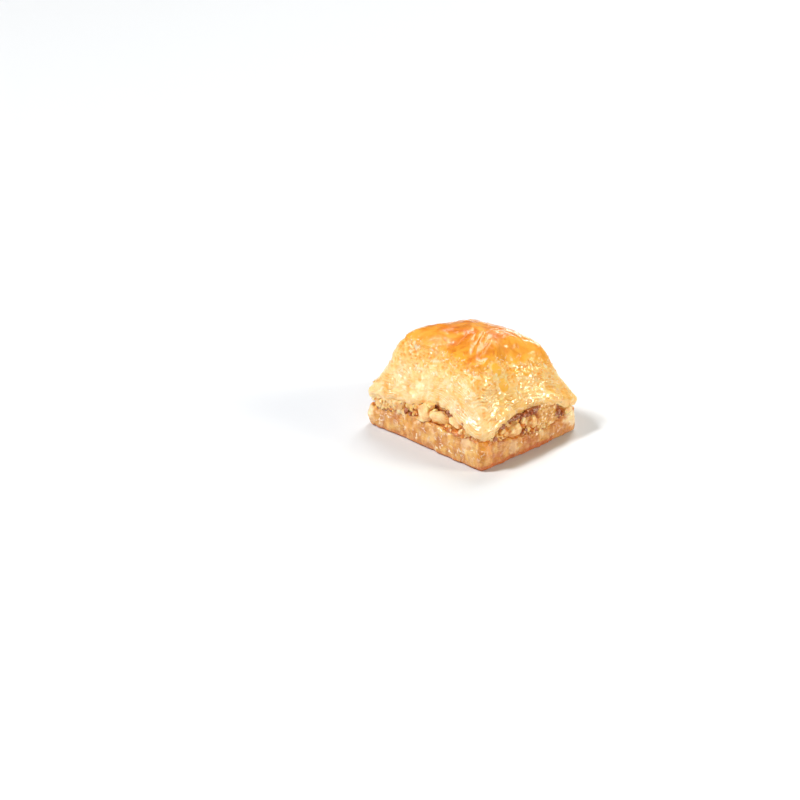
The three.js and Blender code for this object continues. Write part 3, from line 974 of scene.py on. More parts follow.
# what it is, height, half-width, its corners in the plan
CROWN_LINES = [
    ("crease", 0.3, 0.7, [(2.4, -0.8), (4.6, -3.9), (6.6, -6.6), (8.7, -9.5), (10.6, -12.1)]),
    ("ridge", 0.3, 1, [(4.2, -2.7), (6.2, -5.4), (7.9, -8.4), (9.4, -11), (10.8, -13.5)]),
    ("crease", 0.2, 0.9, [(2.4, -4.2), (2.2, -5.7), (1.5, -8.3), (1.2, -10.9)]),
    ("crease", 0.25, 0.5, [(9, -1.8), (9.8, -3.2), (11.7, -7.8), (13.5, -12)]),
    ("ridge", 0.2, 0.6, [(10.2, -2.4), (10.9, -4.2), (12.6, -8), (14.3, -11.6)]),
    ("sheet", 0.16, 4, [(1.1, -11), (1.9, -8.6), (1.8, -6.5), (1.5, -1.5)]),
    ("sheet", 0.16, 4, [(7.3, 5.4), (10.9, 7.5), (15.9, 8.7)]),
    ("crease", 0.22, 0.5, [(5, 7.1), (10.8, 8.8), (13, 9.2), (14.4, 13.1), (16.1, 15.5)]),
    ("sheet", 0.2, 3, [(-12.5, -2), (-15.5, -8.4), (-17.5, -12.8)]),
    ("crease", 0.2, 0.5, [(4.9, 2), (5.8, 3.7), (6.9, 4.9)]),
    ("crease", 0.2, 0.9, [(-13.1, -4.9), (-9, -5.8), (-4.6, -5.6), (-1.8, -4)]),
    ("ridge", 0.16, 0.35, [(-8.2, -8.4), (-5.4, -8), (-2.4, -8.2)]),
    ("ridge", 0.14, 0.3, [(12.4, 6.2), (13.8, 5.8), (15.3, 5.7)]),
    ("crease", 0.22, 0.7, [(0, 5.5), (-3, 9), (-3.8, 12), (-3.5, 15)]),
    ("sheet", 0.18, 3.5, [(-5, 4.5), (-9, 8), (-15.5, 9.5)]),
    ("ridge", 0.18, 0.9, [(-3, 2.6), (-8, 3.5), (-14, 2.5)]),
    ("crease", 0.2, 0.6, [(6.5, 9.5), (5.4, 13), (6.5, 17)]),
    ("crease", 0.2, 0.6, [(-8, 1.2), (-12, 4.2), (-17.5, 6)]),
    ("sheet", 0.16, 3, [(-1, 15.5), (-7.5, 13), (-12, 15)]),
]
# x, y, radius, amount
BROWN_SPOTS = [
    (12.8, 0.8, 1.3, 1), (-9, 11, 1.2, 1), (3, 13.5, 1, 1), (-10, -10.6, 3, 0.4),
    (-3.5, -10.5, 3, 0.3), (16.5, 11.5, 2.4, 0.4), (13, 6, 2, 0.3), (-14, 4, 3, 0.4),
]
# x, y, radius, amount of pale spots painted on the crown as sheen
SHEEN_SPOTS = [
    (-6.6, 0, 5, 0.25), (10, -1, 4, 0.3), (8, -8, 3, 0.2), (3, 6, 3, 0.5),
    (7, 9.5, 3.5, 0.7), (11.5, 12, 3, 0.6), (-3, 13, 3, 0.4),
]
CROWN_FOLDS = 0.3  # how much of the solid's folds the skin keeps
PLATEAU_LIFT = 0.4
SHEET_EDGE = 0.35  # half the width of a sheet's edge
LIP = 0.22  # how thick the skin is at its edge
SKIN_DEPTH = 0.6
BACK_DOWN = (0.99, 0.9, 0.7, 0.4)  # the rings of the skin's back, of the way to its edge


def crown_lines_relief(surface):
    """The folds and sheet edges on the crown: their height, their dark lines of painted shade and their
    pale edges of painted highlight.
    """
    points = surface.copy()
    points[..., 0] += mottle(surface, (0.4, 3, 105), (0.15, 1.1, 106))
    points[..., 1] += mottle(surface, (0.4, 3, 111), (0.15, 1.1, 112))
    height, dark, pale = (np.zeros(surface.shape[:2]) for _ in range(3))
    for kind, rise, width, corners in CROWN_LINES:
        gap, side, along = line_distance(points, smooth_line(corners))
        shown = smoothstep(along, 0, 0.4) * (1 - smoothstep(along, 0.7, 1))
        close = bell(gap / (SHEET_EDGE if kind == "sheet" else width * (0.5 + 0.5 * shown)))
        if kind == "crease":
            height -= rise * shown * close
            # Painted shade along the crease
            dark = np.maximum(dark, 0.8 * shown * close)
        elif kind == "ridge":
            height += rise * shown * close
            # Painted highlight along the ridge
            pale = np.maximum(pale, 0.3 * shown * close)
        else:
            height += rise * shown * (smoothstep(side * gap, -0.15, 0.2) * np.exp(-gap / width))
            # Painted highlight on one side of a sheet's edge, painted shade on the other
            pale = np.maximum(pale, 0.6 * shown * close * (side > 0))
            dark = np.maximum(dark, 0.5 * shown * close * (side < 0))
    return height, dark, pale


def soft_spots(surface, spots, size):
    """How much of a soft round spot lies on each point, mottled by noise of the given size."""
    total = np.zeros(surface.shape[:2])
    uneven = 0.8 + 0.5 * noise(surface, size, 107)
    for x, y, radius, amount in spots:
        gap = np.hypot(surface[..., 0] - x, surface[..., 1] - y) / radius
        total = np.maximum(total, amount * bell(gap) * uneven)
    return total


def crown_push(angle, down, edge, surface, folds):
    """How far the skin stands out from the solid's crown, and from its sides near the edge."""
    relief = side_relief(angle, down, surface)[0]
    on_side = smoothstep(down, edge - 0.12, edge)
    waves = mottle(surface, (0.3, 6, 97), (0.1, 2.4, 98)) + 0.07 * (crumbs(surface, 2.8, 99) - 0.4)
    skin = lerp(0.2, 0.03, on_side) + PLATEAU_LIFT * smoothstep(down, 0.95, 0.5)
    shoulder = bell(off_angle(angle, 208, 34))
    skin = skin + 0.5 * shoulder * smoothstep(down, 0.4, 0.75) * smoothstep(down, 1.12, 0.75)
    return lerp(waves + folds, 0.8 * relief, on_side) + skin


def make_crown(steps=700, rows=110):
    angle = round_angles(steps)[None, :]
    edge = crown_edge(angle)
    down = (np.linspace(0.02, 1, rows) ** 0.9)[:, None] * edge
    surface = top_point(angle, down, CROWN_FOLDS)
    folds, dark, pale = crown_lines_relief(surface)
    push = crown_push(angle, down, edge, surface, folds)
    outer = pushed(surface, push)

    back = np.array(BACK_DOWN)[:, None] * edge
    inner_surface = top_point(angle, back, CROWN_FOLDS)
    last = push[-1:] - LIP
    deep = 0 * last - SKIN_DEPTH
    sink = np.concatenate([last, last - 0.3, deep, deep])
    inner = inner_surface + surface_normals(surface)[-1:] * sink[..., None]
    inner[2:] = inner_surface[2:] - np.array([0, 0, 0.7])

    whole = hidden_rings(outer[:0], inner)
    spots = soft_spots(surface, BROWN_SPOTS, 0.8)
    # Painted sheen: the pale spots, added to the ridges' painted highlight
    pale = np.maximum(pale, soft_spots(surface, SHEEN_SPOTS, 2.4))
    amber, rim_glint = blister_tint(surface)
    attributes = {
        "rise": whole(seen_tone(angle, down, surface), 0, 0.95),
        "edge": whole(smoothstep(down, edge - 0.2, edge - 0.03), 0, 1),
        # Painted shade in the creases and under the sheets' edges, and the brown spots of baking
        "crease_shade_and_spots": whole(np.clip(dark + spots, 0, 1)),
        # film: painted highlight and sheen on the ridges, sheet edges, pale spots and blister rims
        "film": whole(np.clip(pale + rim_glint, 0, 1)),
        "amber": whole(amber),
        "relief_shading": whole(hollows(push, 5, 5, 0.2)),
    }
    rings = np.concatenate([outer, inner])
    ring_object("top_crown", rings, CRUST, crown_material, attributes)


make_crown()

# ---- Bottom layers ----

BASE_LAYERS = 12
BASE_SQUARENESS = 30
BASE_SHARES = (0.972, 0.995)  # how much of the outline the slab fills, at its edges and between
TOP_SHARES = (0.4, 0.75, 0.9)
FOOT_SHARES = (0.97, 0.7, 0.3)
CORNER_LUMP = (225, 7, 0.8)  # degrees, half-width in degrees, height
# x, y, z, radius of the wet patches on the slab's sides, where white glints are painted and the syrup film
# tilts up
WET_PATCHES = [
    (6.8, -21.8, 8.5, 2.6), (12.5, -21.8, 9, 2.4), (6.2, -21.8, 3.2, 3), (11, -21.8, 3.4, 2.4),
    (15.5, -21.8, 3.7, 3), (24.8, -21.8, 5.7, 2), (-10, -21.8, 5.6, 3), (-20, -21.8, 3.6, 2),
    (-16, -21.8, 6, 1.6), (25.3, 11.2, 3.2, 2.2), (25.3, 6, 6.5, 2), (25.3, -5, 4.5, 1.6),
    (25.3, 19, 4.5, 2), (-4, -21.8, 4, 2), (1, -21.8, 6, 2), (21, -21.8, 6, 2.4),
    (-25.3, -8, 4, 3), (-25.3, 6, 4.5, 3), (-25.3, 16, 3, 2), (-14, 21.8, 4.5, 3),
    (-2, 21.8, 3.5, 2.6), (9, 21.8, 5.5, 3), (19, 21.8, 3.5, 2.4),
]
# x, y, z, radius, and 1 where it is pale or -1 where it is orange
BASE_PATCHES = [
    (25.3, 19.8, 6.4, 4.2, 1), (25.3, 4, 7.5, 3.4, 0.7), (25.3, -8, 4.6, 2.6, 0.5),
    (25.2, -19.5, 7.6, 2.6, -0.8), (-24, -21.8, 5.2, 2.4, 0.8), (-6, -21.8, 5, 4, -0.3),
    (3, -21.8, 6.4, 3, 0.1), (18, -21.8, 8, 2.6, 0.5), (-25.3, 10, 4.6, 3, 0.6),
    (0, 21.8, 5, 3.6, 0.6), (-16, 21.8, 5.4, 3, -0.6), (16, 21.8, 3.4, 3, 0.5),
]


def base_patches(points):
    """Pale (above 0) and orange (below 0) patches of the slab."""
    ragged = mottle(points, (0.5, 2.6, 135), (0.3, 1, 136))
    patches = [tint * smoothstep(away + ragged, 1.1, 0.4) for away, tint in spot_gaps(points, BASE_PATCHES)]
    return np.clip(sum(patches), -1, 1)


def wet_patches(points):
    """1 in the wet patches, 0 well away from them."""
    amount = np.maximum(0.12, strongest(points, WET_PATCHES, bell))
    return np.clip(1.2 * amount + 0.25 * noise(points, 2, 134), 0, 1)


def base_relief(angle, up, surface):
    """The slab's lumps and cut sheets, and which sheet each point is on."""
    creamy = smoothstep(mottle(surface, (1, 5, 121), (0.4, 1.8, 122)), -0.35, 0.3)
    sheets, sheet = layer_relief(angle, up, BASE_LAYERS, 131)
    crumbly = 0.22 * crumbs(surface, 1.7, 123) + 0.12 * crumbs(surface, 0.9, 124) - 0.15
    smooth = 0.07 * noise(surface, 1.7, 125)
    lumps = mottle(surface, (0.32, 5, 126), (0.24, 2.4, 130))
    return lumps + sheets * lerp(0.5, 0.15, creamy) + lerp(crumbly, smooth, creamy), sheet


def toast_and_right_shade(angle, moved):
    """1 where the foot is browned, which is higher on the right side, and in patches up the whole right
    side, where shade is painted.
    """
    height = moved[..., 2] + 0.5 * noise(moved, 3, 132) + 0.3 * noise(moved, 1, 133)
    right_side = smoothstep(np.cos(angle), 0.6, 0.75)
    tall = lerp(1.5, 2.6, right_side)
    strip_end = smoothstep(moved[..., 1], 13, 9.5)
    band = smoothstep(height, tall, 0.55 * tall) * lerp(0.6, strip_end, right_side)
    # Painted shade: darker patches up the whole right side
    return np.maximum(band, 0.28 * right_side * smoothstep(noise(moved, 4, 137), -0.8, 0.3))


def film_normals(rings, head, foot, wet):
    """The syrup's normals; its beads on the sides face up a little."""
    normals = surface_normals(rings)
    normals[len(head):-len(foot), :, 2] += 0.12 + 0.22 * wet
    return normals / np.linalg.norm(normals, axis=-1, keepdims=True)


def make_base(steps=560, rows=110):
    angle = round_angles(steps)[None, :]
    inner_share = np.array(TOP_SHARES)[:, None]
    t = np.linspace(0, 1, rows)[:, None]
    middle = np.sin(np.pi * t)
    torn = mottle(outline_point(angle), (0.55, 2.4, 128), (0.3, 0.9, 129))
    level = (base_top(angle, 1) + torn) * (1 - t)
    surface = plan_point(angle, lerp(*BASE_SHARES, middle**0.6), BASE_SQUARENESS, level)
    up = np.broadcast_to(1 - t, surface.shape[:2])
    relief, sheet = base_relief(angle, up, surface)
    lump_at, half_width, height = CORNER_LUMP
    lump = bell(off_angle(angle, lump_at, half_width)) * middle**0.7
    foot_edge = smoothstep(t, 1, 0.93)
    top_edge = smoothstep(t, 0, 0.05)
    push = relief * lerp(0.7, 1, foot_edge) + height * lump - 0.75 * (1 - foot_edge) - 0.3 * (1 - top_edge)
    moved = pushed(surface, push)
    moved[..., 2] = np.clip(moved[..., 2], 0, None)
    moved[-1, :, 2] = 0

    top = plan_point(angle, inner_share, BASE_SQUARENESS, 0)
    top[..., 2] = base_top(angle, inner_share) - 0.4 + 0.3 * noise(top, 2, 127)
    foot = moved[-1:] * np.array(FOOT_SHARES)[:, None, None]
    foot[..., 2] = 0
    whole = hidden_rings(top, foot)
    wet = wet_patches(moved)
    attributes = {
        "smooth": film_normals(np.concatenate([top, surface, foot]), top, foot, wet),
        "toast_and_shade": whole(toast_and_right_shade(angle, moved), 0, 1),
        "painted_glints": whole(wet, 1),
        "patch": whole(base_patches(moved)),
        "relief_shading": whole(hollows(relief, *RELIEF_WINDOW, 0.18)),
        "flow": sheet_flow(angle, whole(sheet, 20)),
    }
    rings = np.concatenate([top, moved, foot])
    ring_object("soaked_base", rings, SLAB, base_material, attributes)


make_base()

# ---- Walnuts ----

CUT_SHARE = 0.985
CORE_SHARE = 0.975
BAND_SQUARENESS = 10
CORE_TUCK = 0.5  # how far the core and the pieces go into the pastry above and below
NUT_TUCK = 0.8
HOLE_DEPTH = 2.6  # how deep the core is at an open gap, and behind a large piece
BED_DEPTH = 1.3
NUT_INSET = 0.2  # of a large piece's size, and how much more where the paste floods it
FLOOD_INSET = 0.5
FULL_SKIN = 0.9
NO_SKIN = -0.8
BLOCK_TIP = math.radians(-14)
# x, y, z, size of the large pieces at the cut faces
LARGE_NUTS = [
    (-0.6, -21.6, 12, 7.4), (5.9, -21.6, 12, 7), (-9.5, -21.4, 8.6, 3.4), (19.4, -21.6, 12.2, 2.8),
    (-21.6, -21.4, 8.4, 3.6), (-18.5, -21.4, 10.2, 3.4), (-16, -21.3, 10.8, 3.2), (-13.4, -21.4, 11, 3),
    (-19.7, -21.2, 7.2, 3), (-24, -21.3, 9.6, 3), (-3.2, -21.3, 9.2, 2.6), (2.2, -21.3, 15.2, 3),
    (25, -6.9, 9.4, 6.2), (25, -12.2, 11.2, 3.4), (25, -15.4, 9.6, 2.6), (25, 1.6, 9.6, 4.4),
    (25, 7.6, 9.6, 4.2), (25, 18.8, 8.2, 5), (25, -2.6, 11.6, 3), (25, 11.2, 9.2, 2.6),
    (14, 21.6, 11.2, 5.6), (5, 21.6, 11.6, 6.2), (-6, 21.6, 12.2, 5.2), (-17, 21.6, 10.8, 5.8),
    (-25.2, 13, 10.5, 5.4), (-25.2, 3.5, 10.8, 5.8), (-25.2, -5, 10.6, 5), (-25.2, -15, 9.8, 4.6),
]
BLOCK_NUTS = [
    (13.3, -21.4, 13.2, 5.6), (22, 21.4, 11, 4), (-12, 21.4, 9.6, 4.4), (-25, 8.6, 11.6, 4.2),
]
SET_NUTS = LARGE_NUTS + BLOCK_NUTS
# x, y, z, radius of the open gaps at the cut faces, which are pushed in and painted dark as shade
GAPS = [
    (10.2, -21.5, 15.6, 1.9), (-8, -21.5, 10.4, 1.4), (25, -1, 7, 1.2), (25, -10.5, 13.2, 1.3),
    (25, -6.5, 13.8, 1.3), (25, -2.5, 13.4, 1.2), (25, 15.5, 8.5, 1.1), (25, 2.5, 12.4, 0.9),
    (2, 21.5, 11.5, 1.4), (-10, 21.5, 13.5, 1.3), (-25, 3, 12, 1.4), (-25, -9, 9, 1.1),
    (15, 21.5, 12.5, 1.1), (-25, 14, 10.5, 1.1),
]
# How far up the band, how many, the smallest and largest size, and how far back
NUT_ROWS = [
    (0.22, 46, 2.2, 4.4, 0), (0.72, 46, 2.2, 4.4, 0.2), (0.5, 42, 1.8, 3.4, 0),
    (0.45, 40, 3, 5, 1.8),
]
ROW_TURN = 0.37  # how far each row is turned from the one before, of a step
STEP_JITTER = 0.35
LEVEL_JITTER = 0.15
RIGHT_SIDE = 0.65  # radians each way, where the pieces lie deeper
RIGHT_INSET = 0.7
CRUMB_SIZES = (0.6, 1.7)
CORNER_CRUMB_SIZES = (1.6, 3.2)
CORNER_CRUMBS = (226, 252)  # degrees
SKIN_CRUMB_SIZES = (1, 2.3)
# The ends of the runs of brown skin crumbs, and how many there are
SKIN_RUNS = [
    ((25, -17.3, 11), (25, -12.1, 14.4), 16), ((25, -12.1, 14.4), (25, -3, 13.4), 30),
    ((25, -3, 13.4), (25, 4.4, 13.6), 22), ((25, -2.4, 9), (25, -1.2, 5.8), 6),
    ((25, 12.6, 9.4), (25, 15.2, 7.2), 12), ((16.8, -21.4, 15.4), (19.4, -21.4, 11.8), 10),
    ((9.8, -21.4, 15.8), (11.6, -21.4, 14.6), 4), ((-9.4, -21.4, 10.6), (-6.8, -21.4, 9.4), 5),
    ((-23, -21.4, 7), (-14, -21.4, 7.6), 8), ((-3.6, -21.4, 8.2), (1.4, -21.4, 8.6), 6),
    ((-25.2, -12, 11.4), (-25.2, -7, 12.6), 8), ((-25.2, 8, 9.6), (-25.2, 14, 9), 8),
    ((-12, 21.4, 12.8), (-2, 21.4, 10.2), 12), ((9, 21.4, 9.6), (18, 21.4, 11.6), 12),
]
FLOOD_ENDS = ((3.4, 5.2), (13.6, 12))  # along the right side, where the paste begins and ends
X_FACES = 24  # a piece farther out than this is on a face across x
FLAKE_GRID = (8, 5)
SEED_LIMIT = 9999
FINE_ANGLES = 4096
WALNUT_SEED = 7
CRUMB_SEED = 19
FLAKE_SEED = 31


def gap_amount(points):
    """1 in the open gaps, 0 away from them."""
    return strongest(points, GAPS, lambda away: smoothstep(away, 1.5, 0.7))


def beside_nuts(points):
    """1 at the large pieces, 0 away from them."""
    reaches = [(x, y, z, 0.6 * size) for x, y, z, size in SET_NUTS]
    return strongest(points, reaches, lambda away: smoothstep(away, 1.15, 0.75))


def flooded(points):
    """1 where syrup and paste fill the band level with the cut, 0 elsewhere."""
    along = points[..., 1] + 0.9 * noise(points, 2.4, 204) + 0.4 * noise(points, 1, 205)
    near, far = FLOOD_ENDS
    return (points[..., 0] > 20) * smoothstep(along, *near) * smoothstep(along, *far)


def make_core(steps=560, rows=44):
    angle = round_angles(steps)[None, :]
    t = np.linspace(0, 1, rows)[:, None]
    low = base_top(angle, 0.95) - CORE_TUCK
    high = top_underside(angle, 0.95) + CORE_TUCK
    side = plan_point(angle, CORE_SHARE, SKIRT_SQUARENESS, lerp(high, low, t))
    gaps, nuts, flood = gap_amount(side), beside_nuts(side), flooded(side)
    rise = 0.5 * noise(side, 2.2, 201) + 0.55 * crumbs(side, 1.6, 202) + 0.25 * crumbs(side, 0.8, 203)
    push = rise - lerp(1.1, 0.2, smoothstep(t, 0.45, 1)) - HOLE_DEPTH * gaps - BED_DEPTH * nuts
    level_paste = mottle(side, (0.35, 3.2, 206), (0.2, 1.2, 207)) + 0.3 * crumbs(side, 1.1, 208) - 0.2
    push = lerp(push, level_paste, flood)
    moved = pushed(side, push)
    upper = plan_point(angle, np.array([[0.5], [0.85]]), SKIRT_SQUARENESS, high)
    lower = plan_point(angle, np.array([[0.85], [0.5]]), SKIRT_SQUARENESS, low)
    # deep: how far the paste lies in a recess, behind the large pieces and in the open gaps, where it is
    # painted dark brown as shade
    depth = np.clip(-(push + 0.7 * nuts + 0.55) / 1.1, 0, 1)
    whole = hidden_rings(upper, lower)
    attributes = {"deep": whole(np.maximum(depth, gaps * (1 - flood)), 1, 1), "flood": whole(flood)}
    rings = np.concatenate([upper, moved, lower])
    ring_object("nut_paste", rings, FILLING, core_material, attributes)


make_core()


def unit_ball(divisions):
    """Points and triangles of a round ball of radius 1."""
    made = bmesh.new()
    bmesh.ops.create_icosphere(made, subdivisions=divisions, radius=1)
    verts = np.array([v.co for v in made.verts])
    faces = np.array([[v.index for v in f.verts] for f in made.faces])
    made.free()
    return verts, faces


BALLS = {divisions: unit_ball(divisions) for divisions in (2, 3, 4)}


def turned(rng):
    """A random rotation."""
    q = rng.normal(size=4)
    w, x, y, z = q / np.linalg.norm(q)
    return np.array([
        [1 - 2 * (y * y + z * z), 2 * (x * y - z * w), 2 * (x * z + y * w)],
        [2 * (x * y + z * w), 1 - 2 * (x * x + z * z), 2 * (y * z - x * w)],
        [2 * (x * z - y * w), 2 * (y * z + x * w), 1 - 2 * (x * x + y * y)],
    ])


def unit_vector(rng):
    vector = rng.normal(size=3)
    return vector / np.linalg.norm(vector)


def kernel_piece(rng, size, divisions, block=False, breaks=(3, 7)):
    """A broken piece of walnut kernel: a lump with a few flat breaks and faint wrinkles."""
    ball, faces = BALLS[divisions]
    seed = int(rng.integers(1, SEED_LIMIT))
    if block:
        points = np.sign(ball) * abs(ball) ** 0.45
        points = points * np.array([1, 0.62, 0.6]) * 0.85
    else:
        lobes = 1 + 0.3 * noise(ball, 0.9, seed) + 0.16 * noise(ball, 0.42, seed + 1)
        points = ball * lobes[:, None]
        for _ in range(int(rng.integers(*breaks))):
            facing = unit_vector(rng)
            beyond = points @ facing - rng.uniform(0.4, 0.85)
            points = points - np.outer(np.clip(beyond, 0, None) * 0.85, facing)
        points = points * np.array([1, rng.uniform(0.62, 0.95), rng.uniform(0.55, 0.85)])
    wrinkles = mottle(ball, (0.04, 0.3, seed + 2), (0.025, 0.14, seed + 4))
    points = points * (1 + wrinkles)[:, None]
    covered = ball @ unit_vector(rng) + 0.35 * noise(ball, 0.5, seed + 3)
    skin = smoothstep(covered, rng.uniform(0.35, 1.15), 1.3)
    turn = np.eye(3) if block else turned(rng)
    return (points * size / 2) @ turn.T, faces, skin


def set_in(place, inset):
    """Moves a place inwards from the cut."""
    place[:2] *= 1 - inset / np.linalg.norm(place[:2])
    return place


def nut_spot(angle, level, inset, flood_inset):
    """A place `level` up the filling and `inset` behind the cut, and farther where paste floods it."""
    height = lerp(base_top(angle, 1), top_underside(angle, 1), level)
    place = plan_point(angle, 1, BAND_SQUARENESS, height)
    return set_in(place, inset + flood_inset * flooded(set_in(place.copy(), inset)))


def clip_to_filling(points):
    """Keeps a piece between the pastry below and above, and flattens it where the knife went."""
    direction = np.arctan2(points[:, 1] / HALF[1], points[:, 0] / HALF[0])
    limit = np.linalg.norm(plan_point(direction, CUT_SHARE, SKIRT_SQUARENESS, 0)[:, :2], axis=1)
    reach = np.linalg.norm(points[:, :2], axis=1)
    beyond = np.clip(reach - limit, 0, None)
    points[:, :2] *= ((reach - 0.6 * beyond) / reach)[:, None]
    low = base_top(direction, 1) - NUT_TUCK
    high = top_underside(direction, 1) + NUT_TUCK
    points[:, 2] = np.clip(points[:, 2], low, high)
    return points


def is_covering(place, size, gap_limit):
    """Whether a small piece would fill an open gap or cover a large piece."""
    return gap_amount(place) > gap_limit or any(
        size < 0.8 * large and np.linalg.norm((place - np.array([x, y, z]))) < 0.45 * large
        for x, y, z, large in SET_NUTS
    )


def add_scattered(name, pieces, kind, material, key):
    """One mesh from many pieces, each of which is (points, faces, values)."""
    points, faces, values = zip(*pieces)
    starts = np.cumsum([0] + [len(part) for part in points[:-1]])
    moved = np.concatenate([part + start for start, part in zip(starts, faces)])
    make_object(name, np.concatenate(points), moved, kind, material, {key: np.concatenate(values)})


def large_nut(rng, x, y, z, size):
    points, faces, skin = kernel_piece(rng, size, 4 if size > 4 else 3, breaks=(2, 5))
    place = np.array([x, y, z])
    place = set_in(place, NUT_INSET * size + FLOOD_INSET * size * flooded(place))
    return clip_to_filling(points + place), faces, 1.4 * skin + NO_SKIN


def block_nut(rng, x, y, z, size):
    """A square-cut piece, tipped along its face of the filling."""
    points, faces, skin = kernel_piece(rng, size, 3, block=True)
    if abs(x) > X_FACES:
        points = points[:, [1, 0, 2]]
    across, high = points[:, 0].copy(), points[:, 2].copy()
    points[:, 0] = across * math.cos(BLOCK_TIP) - high * math.sin(BLOCK_TIP)
    points[:, 2] = across * math.sin(BLOCK_TIP) + high * math.cos(BLOCK_TIP)
    place = set_in(np.array([x, y, z]), NUT_INSET * size)
    return clip_to_filling(points + place), faces, 0 * skin + NO_SKIN


def make_walnuts():
    rng = np.random.default_rng(WALNUT_SEED)
    pieces = [large_nut(rng, *nut) for nut in LARGE_NUTS]
    pieces += [block_nut(rng, *nut) for nut in BLOCK_NUTS]
    for row, (level, count, low, high, behind) in enumerate(NUT_ROWS):
        for i in range(count):
            angle = 2 * math.pi * (i + ROW_TURN * row + rng.uniform(-STEP_JITTER, STEP_JITTER)) / count
            size = lerp(low, high, rng.random() ** 1.7)
            points, faces, skin = kernel_piece(rng, size, 3)
            inset = behind + 0.42 * size + rng.uniform(0, 0.6)
            inset = inset + RIGHT_INSET * (angle_gap(angle, 0) < RIGHT_SIDE)
            place = nut_spot(angle, level + rng.uniform(-LEVEL_JITTER, LEVEL_JITTER), inset, 1.8)
            if not is_covering(place, size, 0.2):
                pieces.append((clip_to_filling(points + place), faces, skin))
    add_scattered("walnut_pieces", pieces, FILLING, walnut_material, "skin")


make_walnuts()


def skin_crumbs(rng):
    """The bits of brown skin, along their runs."""
    for start, end, count in SKIN_RUNS:
        for _ in range(count):
            points, faces, _ = kernel_piece(rng, rng.uniform(*SKIN_CRUMB_SIZES), 2)
            place = lerp(np.array(start), np.array(end), rng.random()) + 0.5 * rng.normal(size=3)
            place = set_in(place, rng.uniform(0.3, 1))
            yield clip_to_filling(points + place), faces, np.full(len(points), FULL_SKIN)


def make_crumbs(count=460, corner_count=50):
    """Small bits of kernel in the syrup, most of them low down and at the left corner."""
    rng = np.random.default_rng(CRUMB_SEED)
    pieces = []
    for i in range(count):
        angle = 2 * math.pi * rng.random()
        level = rng.uniform(-0.1, 0.45) if i % 3 else rng.uniform(0, 1)
        size = lerp(*CRUMB_SIZES, rng.random() ** 1.6)
        if i < corner_count:
            angle = math.radians(rng.uniform(*CORNER_CRUMBS))
            level = rng.uniform(0.05, 0.95)
            size = rng.uniform(*CORNER_CRUMB_SIZES)
        points, faces, skin = kernel_piece(rng, size, 3 if size > 1.6 else 2, breaks=(0, 4))
        place = nut_spot(angle, level, 0.35 * size + rng.uniform(0, 0.5), 0.5)
        if not is_covering(place, size, 0.3):
            pieces.append((clip_to_filling(points + place), faces, 0.8 * skin))
    pieces += skin_crumbs(rng)
    add_scattered("walnut_crumbs", pieces, FILLING, walnut_material, "skin")


make_crumbs()

# ---- Loose flakes on the pastry ----

FLAKE_LENGTHS = (0.8, 2.8)
FLAKE_WIDTHS = (0.3, 0.8)
FLAKE_THICKNESSES = (0.06, 0.11)
FLAKE_TILTS = (-0.1, 0.6)  # radians
FLAKE_TURN = 0.22


def sheet_faces(columns, rows):
    """Faces of a thin closed sheet: its upper points in rows, then its lower points."""
    lower = columns * rows
    at = np.arange(lower).reshape(columns, rows)
    quads = [at[:-1, :-1], at[1:, :-1], at[1:, 1:], at[:-1, 1:]]
    upper = np.stack([q.reshape(-1) for q in quads], axis=1)
    rim = np.concatenate([at[:, 0], at[-1, 1:], at[-2::-1, -1], at[0, -2:0:-1]])
    after = np.roll(rim, -1)
    edge = np.stack([rim, rim + lower, after + lower, after], axis=1)
    return np.concatenate([upper, upper[:, ::-1] + lower, edge])


def thin_sheet(rng, length, width, thickness):
    """A small torn, curled sheet lying in x and y."""
    along, across = np.meshgrid(*(np.linspace(-1, 1, count) for count in FLAKE_GRID), indexing="ij")
    seed = int(rng.integers(1, SEED_LIMIT))
    place = np.stack([along * length, across * width, 0 * along], axis=-1)
    torn = 1 + 0.35 * noise(place + 5, 0.7, seed)
    x = along * length / 2 * (1 - 0.15 * across**2) * lerp(1, torn, along**2)
    y = across * width / 2 * (1 - 0.45 * along**2) * lerp(1, torn, across**2)
    bend = rng.uniform(-0.25, 0.25) * length * along**2 * 0.5 + rng.uniform(-0.2, 0.2) * width * across
    z = bend + 0.12 * noise(place + 9, 0.9, seed + 1)
    half = thickness / 2 * (1 - 0.6 * np.maximum(abs(along), abs(across)) ** 3)
    upper = np.stack([x, y, z + half], axis=-1).reshape(-1, 3)
    lower = np.stack([x, y, z - half], axis=-1).reshape(-1, 3)
    return np.concatenate([upper, lower])


def side_frames(angle, down):
    """Points on the top's relief, with the directions round it, down it and out of it."""
    step = 0.004
    surface = top_point(angle, down)
    around = top_point(angle + step, down) - top_point(angle - step, down)
    below = top_point(angle, down + step) - top_point(angle, down - step)
    around /= np.linalg.norm(around, axis=-1, keepdims=True)
    below -= around * np.sum(around * below, axis=-1, keepdims=True)
    below /= np.linalg.norm(below, axis=-1, keepdims=True)
    outward = np.cross(below, around)
    relief = side_relief(angle, down, surface)[0]
    return surface + outward * relief[..., None], around, below, outward


def random_angles(rng, count):
    """Random directions, evenly spread along the sides."""
    return round_angles(FINE_ANGLES)[rng.integers(0, FINE_ANGLES, count)][None, :]


